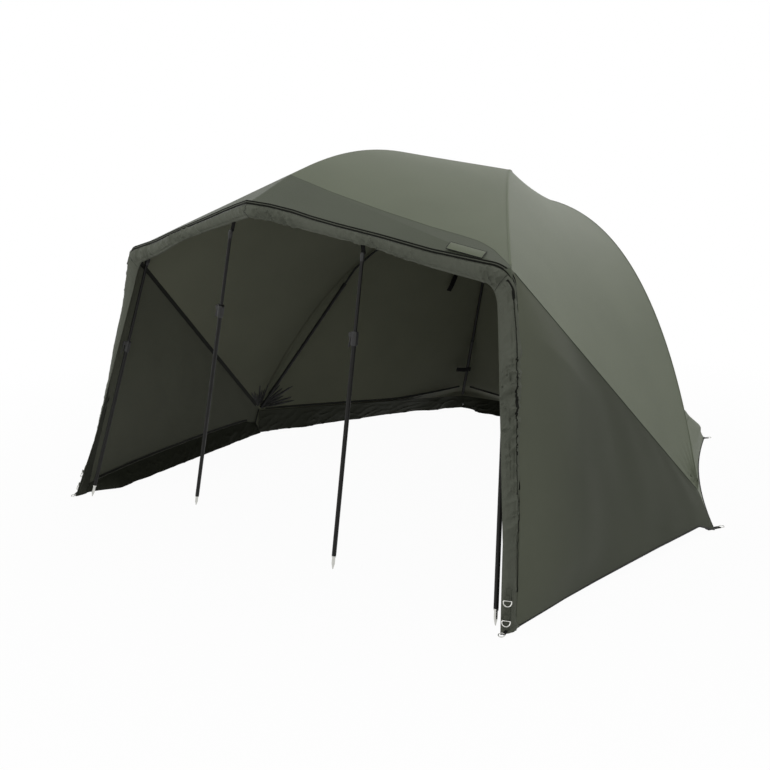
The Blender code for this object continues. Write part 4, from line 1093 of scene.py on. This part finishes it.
def flap(name, place, carrier, top_line, foot_line, pull, seed, rough=1.0, reach=lambda share: 0.0):
    """A strip of cloth that hangs from a line and lies on the ground in rough folds."""
    length = np.linalg.norm(foot_line(1.0) - foot_line(0.0))
    margin = FLAP_END / length
    shares = np.linspace(margin, 1.0 - margin, int(length * FLAP_COLUMNS_A_METRE))
    top = np.array([top_line(s) for s in shares])
    ground = np.array([foot_line(s) + pull * reach(s) for s in shares])
    ground[:, 2] = 0.005
    height = evenly(FLAP_ROWS)[:, None]
    grid = np.array([mix(top, ground, k) for k in height[:, 0]])
    u, v = cloth_lengths(grid)
    fold_depth = ripples(u, v, 0.19, seed, 0.0, 0.15) * 0.007 * rough * bulge(height / 2.0)
    crumple = (creases(u, v, 0.085, seed + 1, 1.1, 0.5) - 0.45) * 0.011 * np.minimum(1.0, height * 3.0)
    crumple += (creases(u, v, 0.035, seed + 2, 0.7, 0.9) - 0.45) * 0.0035 * np.minimum(1.0, height * 3.0)
    crumple *= rough
    grid = grid + pull * fold_depth[..., None] + pull * np.maximum(crumple, -0.003)[..., None]
    grid[..., 2] = np.maximum(grid[..., 2] + crumple * 0.5 * bulge(height), 0.0025)
    piece = shell(name, grid, 0.001, 0.001, ["flap"])
    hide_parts("mud_" + name)
    hem = tube("hem_" + name, grid[-1] + UP * 0.001, 0.002, "cord", sides=6)
    hang(place, "side", piece, hem)
    cloth(piece, grid, [carrier], [hem], "hung")


def eave_flap(name, word, carrier, spots, seed, feet, sign=1.0):
    """A flap below an eave at the back. Spots gives the eave's ends and the pegs below them."""
    left, right, *pegs = spots
    pull = ground_pull(*pegs)
    places, xs, ys = feet
    flap(name, rib_place("rear", word), carrier,
         lambda share: mix(left, right, share) - UP * FLAP_DROP + pull * 0.006,
         lambda share: np.array((np.interp(share, places, xs) * sign, np.interp(share, places, ys), 0.0)),
         pull, seed)


def mud_flaps():
    for word, sign in SIDES:
        wall = [side_point(sign, along, 1.0) * (1.0, 1.0, 0.0) for along in (0.0, 1.0)]
        pull = ground_pull(*wall)

        def top_line(share):
            height = mix(CORNER[2], SIDE_EAVE[2], share)
            return side_point(sign, share, 1.0 - mix(*FLAP_TOPS, share) / height) + pull * 0.005

        flap("flap_side_" + word, rib_place("side", word), "wall_side_" + word, top_line,
             lambda share: mix(*wall, share), pull, 31, 0.4,
             lambda share: mix(*FLAP_FEET, share) * min(1.0, share / 0.1))
        spots = [mirrored(spot, sign) for spot in (SIDE_EAVE, REAR_EAVE, SIDE_PEG, REAR_PEG)]
        eave_flap("flap_rear_" + word, word, "canopy_rear_side_" + word, spots, 41, SIDE_FEET, sign)
    spots = [mirrored(spot, sign) for spot in (REAR_EAVE, REAR_PEG) for sign in (-1.0, 1.0)]
    eave_flap("flap_back", "left", "canopy_rear", spots, 51, BACK_FEET)


mud_flaps()


# Webbing, rings and tabs


def ring(name, middle, axis, radius, wire, bar=None):
    """A wire ring about an axis. With bar it is a D ring, flat towards that direction."""
    side = unit(np.cross(axis, (0.23, 0.41, 0.88)))
    other = np.cross(unit(axis), side)
    angles = np.linspace(0.0, 2.0 * math.pi, 29)[:-1]
    points = [middle + (side * math.cos(a) + other * math.sin(a)) * radius for a in angles]
    if bar is not None:
        points = [point - bar * max(0.0, bar.dot(point - middle) - radius * 0.3) for point in points]
    return tube(name, points, wire, "steel", sides=10, closed=True)


def webbing(name, points, normals, width, finish="webbing"):
    """A strap along a line."""
    return strip(name, points, normals, width, 0.0, WEBBING_THICK, finish)


def peg_tab(name, root, tip, place):
    """A webbing loop sewn to a ground corner, with a ring for a peg."""
    along = unit(tip - root)
    eye = tip - along * 0.011
    loop = [mix(root, eye, k / 8.0) + UP * (0.0042 - 0.0004 * k) for k in range(9)]
    loop += [eye + along * (0.004 * math.sin(a)) + UP * 0.001 * math.cos(a)
             for a in np.linspace(0.3, 2.8, 7)[1:-1]]
    loop += [mix(eye, root, k / 8.0) + UP * (0.0016 if k < 8 else 0.0018) for k in range(1, 9)]
    loop = np.array(loop)
    loop[:, 2] = np.maximum(loop[:, 2], 0.0012)
    normals = np.cross(np.gradient(loop, axis=0), np.cross(along, UP))
    normals /= np.maximum(np.linalg.norm(normals, axis=1, keepdims=True), 1e-9)
    hang(place, "side", webbing(name, loop, normals, 0.02))
    hang(place, "steel", ring(name + "_ring", tip + UP * 0.0022 + along * 0.004, UP, 0.0105, 0.0016))


def peg_tabs():
    for word, sign in SIDES:
        for kind, root, tip in PEG_TABS:
            peg_tab("peg_tab_%s_%s" % (kind, word), mirrored(root, sign), mirrored(tip, sign),
                    rib_place(kind, word))


def foot_webbing():
    """The strap at each front foot, with its two rings and the loop that a peg goes through."""
    for word, sign in SIDES:
        head, foot = (mirrored(point, sign) for point in FOOT_STRAP)
        out, up = unit((0.35 * sign, -0.93, 0.1)), unit(head - foot)
        stand = 0.0065 if word == "right" else 0.0
        line = np.array([mix(head, foot, s) + out * (stand + 0.0015 * math.sin(s * 9.0))
                         for s in evenly(22)])
        strap = webbing("foot_strap_" + word, line, out, STRAP_WIDTH, "strap")
        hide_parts("corner_strap_" + word)
        over = webbing("foot_strap_over_" + word, line[12:21] + out * 0.0018, out, 0.028, "strap")
        levels = ((6, "upper_" + word), (16, "lower_" + word))
        rings = [ring("foot_ring_" + key, line[at] + out * 0.008 - up * 0.004, out + UP * 0.45, 0.0125,
                      0.0018, up) for at, key in levels]
        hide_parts("corner_ring_" + word)
        tucks = [webbing("foot_tuck_" + key, line[at - 2:at + 1] + out * 0.0078 + up * 0.004, out, 0.017,
                         "strap") for at, key in levels]
        tail = np.array([foot + (0.0, -0.0035 * k, -0.0018 * k + 0.002) for k in range(7)])
        tail[:, 2] = np.maximum(tail[:, 2], 0.003)
        loop = webbing("foot_loop_" + word, tail, (0.0, -0.45, 0.89), 0.018)
        end = ring("foot_loop_ring_" + word, tail[-1] + (0.0, -0.006, 0.001), (0.0, -0.2, 1.0), 0.0095,
                   0.0016)
        hang(pole_place(word), "side", strap, over, *tucks, loop)
        hang(pole_place(word), "steel", *rings, end)


def tie_tabs():
    """Two hook-and-loop tabs inside, beside the left rear rib."""
    gore = gore_grid(seams["side_left"], seams["rear_left"])
    normals = -outward_normals(gore)
    places = (("upper", 35, 33, (-0.28, -0.21, -1.0)), ("lower", 52, 41, (0.45, 0.89, 0.0)))
    for name, row, column, way in places:
        out = normals[row, column]
        start = gore[row, column] + out * 0.004
        way = unit(np.array(way) - out * np.array(way).dot(out) * 0.7)
        line = [start + way * (0.095 * k) + out * (0.004 + 0.006 * bulge(k) + 0.01 * k * k)
                for k in evenly(14)]
        tab = strip("tie_tab_" + name, line, out, HOOK_WIDTH, 0.0, HOOK_THICK, "hook")
        hang(rib_place("rear", "left"), "side", tab)


peg_tabs()
foot_webbing()
tie_tabs()


# Floor, light and camera


def studio():
    bpy.ops.mesh.primitive_plane_add(size=120.0, location=(0.0, 0.0, 0.0))
    floor = bpy.context.object
    floor.name = "floor"
    made = Shading("floor", 0.0)
    made.feed(made.shader.inputs["Base Color"], FLOOR)
    made.feed(made.shader.inputs["Roughness"], 0.9)
    distance = made.add("VectorMath", {0: made.place}, "Value", operation="LENGTH")
    paler = made.span(distance, 1.6, 4.0, 0.965, 1.0)
    made.close("Material Output", made.math("MULTIPLY", made.seen_white(), paler), made.shader.outputs[0],
               made.add("Emission", {"Color": WHITE}))
    floor.data.materials.append(made.material)
    floor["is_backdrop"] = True

    world = bpy.data.worlds.new("studio")
    bpy.context.scene.world = world
    made = Nodes(world)
    back = made.tree.nodes["Background"]
    made.feed(back.inputs["Color"], (0.97, 0.98, 1.0, 1.0))
    made.feed(back.inputs["Strength"], 0.34)
    made.close("World Output", made.seen_white(), back.outputs[0], made.add("Background", {"Color": WHITE}))

    for name, place, goal, size, power in (
        ("back", (0.9, 4.0, 4.0), (0.2, 0.1, 0.8), 3.0, 44.0),
        ("top", (2.0, -0.3, 4.3), (0.4, 0.0, 0.8), 2.0, 28.0),
        ("fill", (-1.6, -4.2, 2.9), (0.0, 0.3, 0.7), 2.0, 40.0),
        ("side", (3.4, -4.4, 1.7), (0.9, -0.6, 0.6), 1.6, 24.0),
    ):
        lamp = bpy.data.lights.new(name, "AREA")
        lamp.energy = power
        lamp.size = size
        made = placed(name, lamp)
        made.location = place
        made.rotation_euler = (Vector(goal) - Vector(place)).to_track_quat("-Z", "Y").to_euler()


def camera():
    view = bpy.data.cameras.new("camera")
    view.lens = LENS
    view.sensor_width = SENSOR
    made = placed("camera", view)
    made.location = CAMERA
    made.rotation_euler = (math.pi / 2.0 - CAMERA_PITCH, 0.0, CAMERA_YAW)
    bpy.context.scene.camera = made


studio()
camera()
bpy.context.scene.view_settings.view_transform = "Standard"

[[list(corner) for corner in box] for box in (CAD_BOX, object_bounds())]
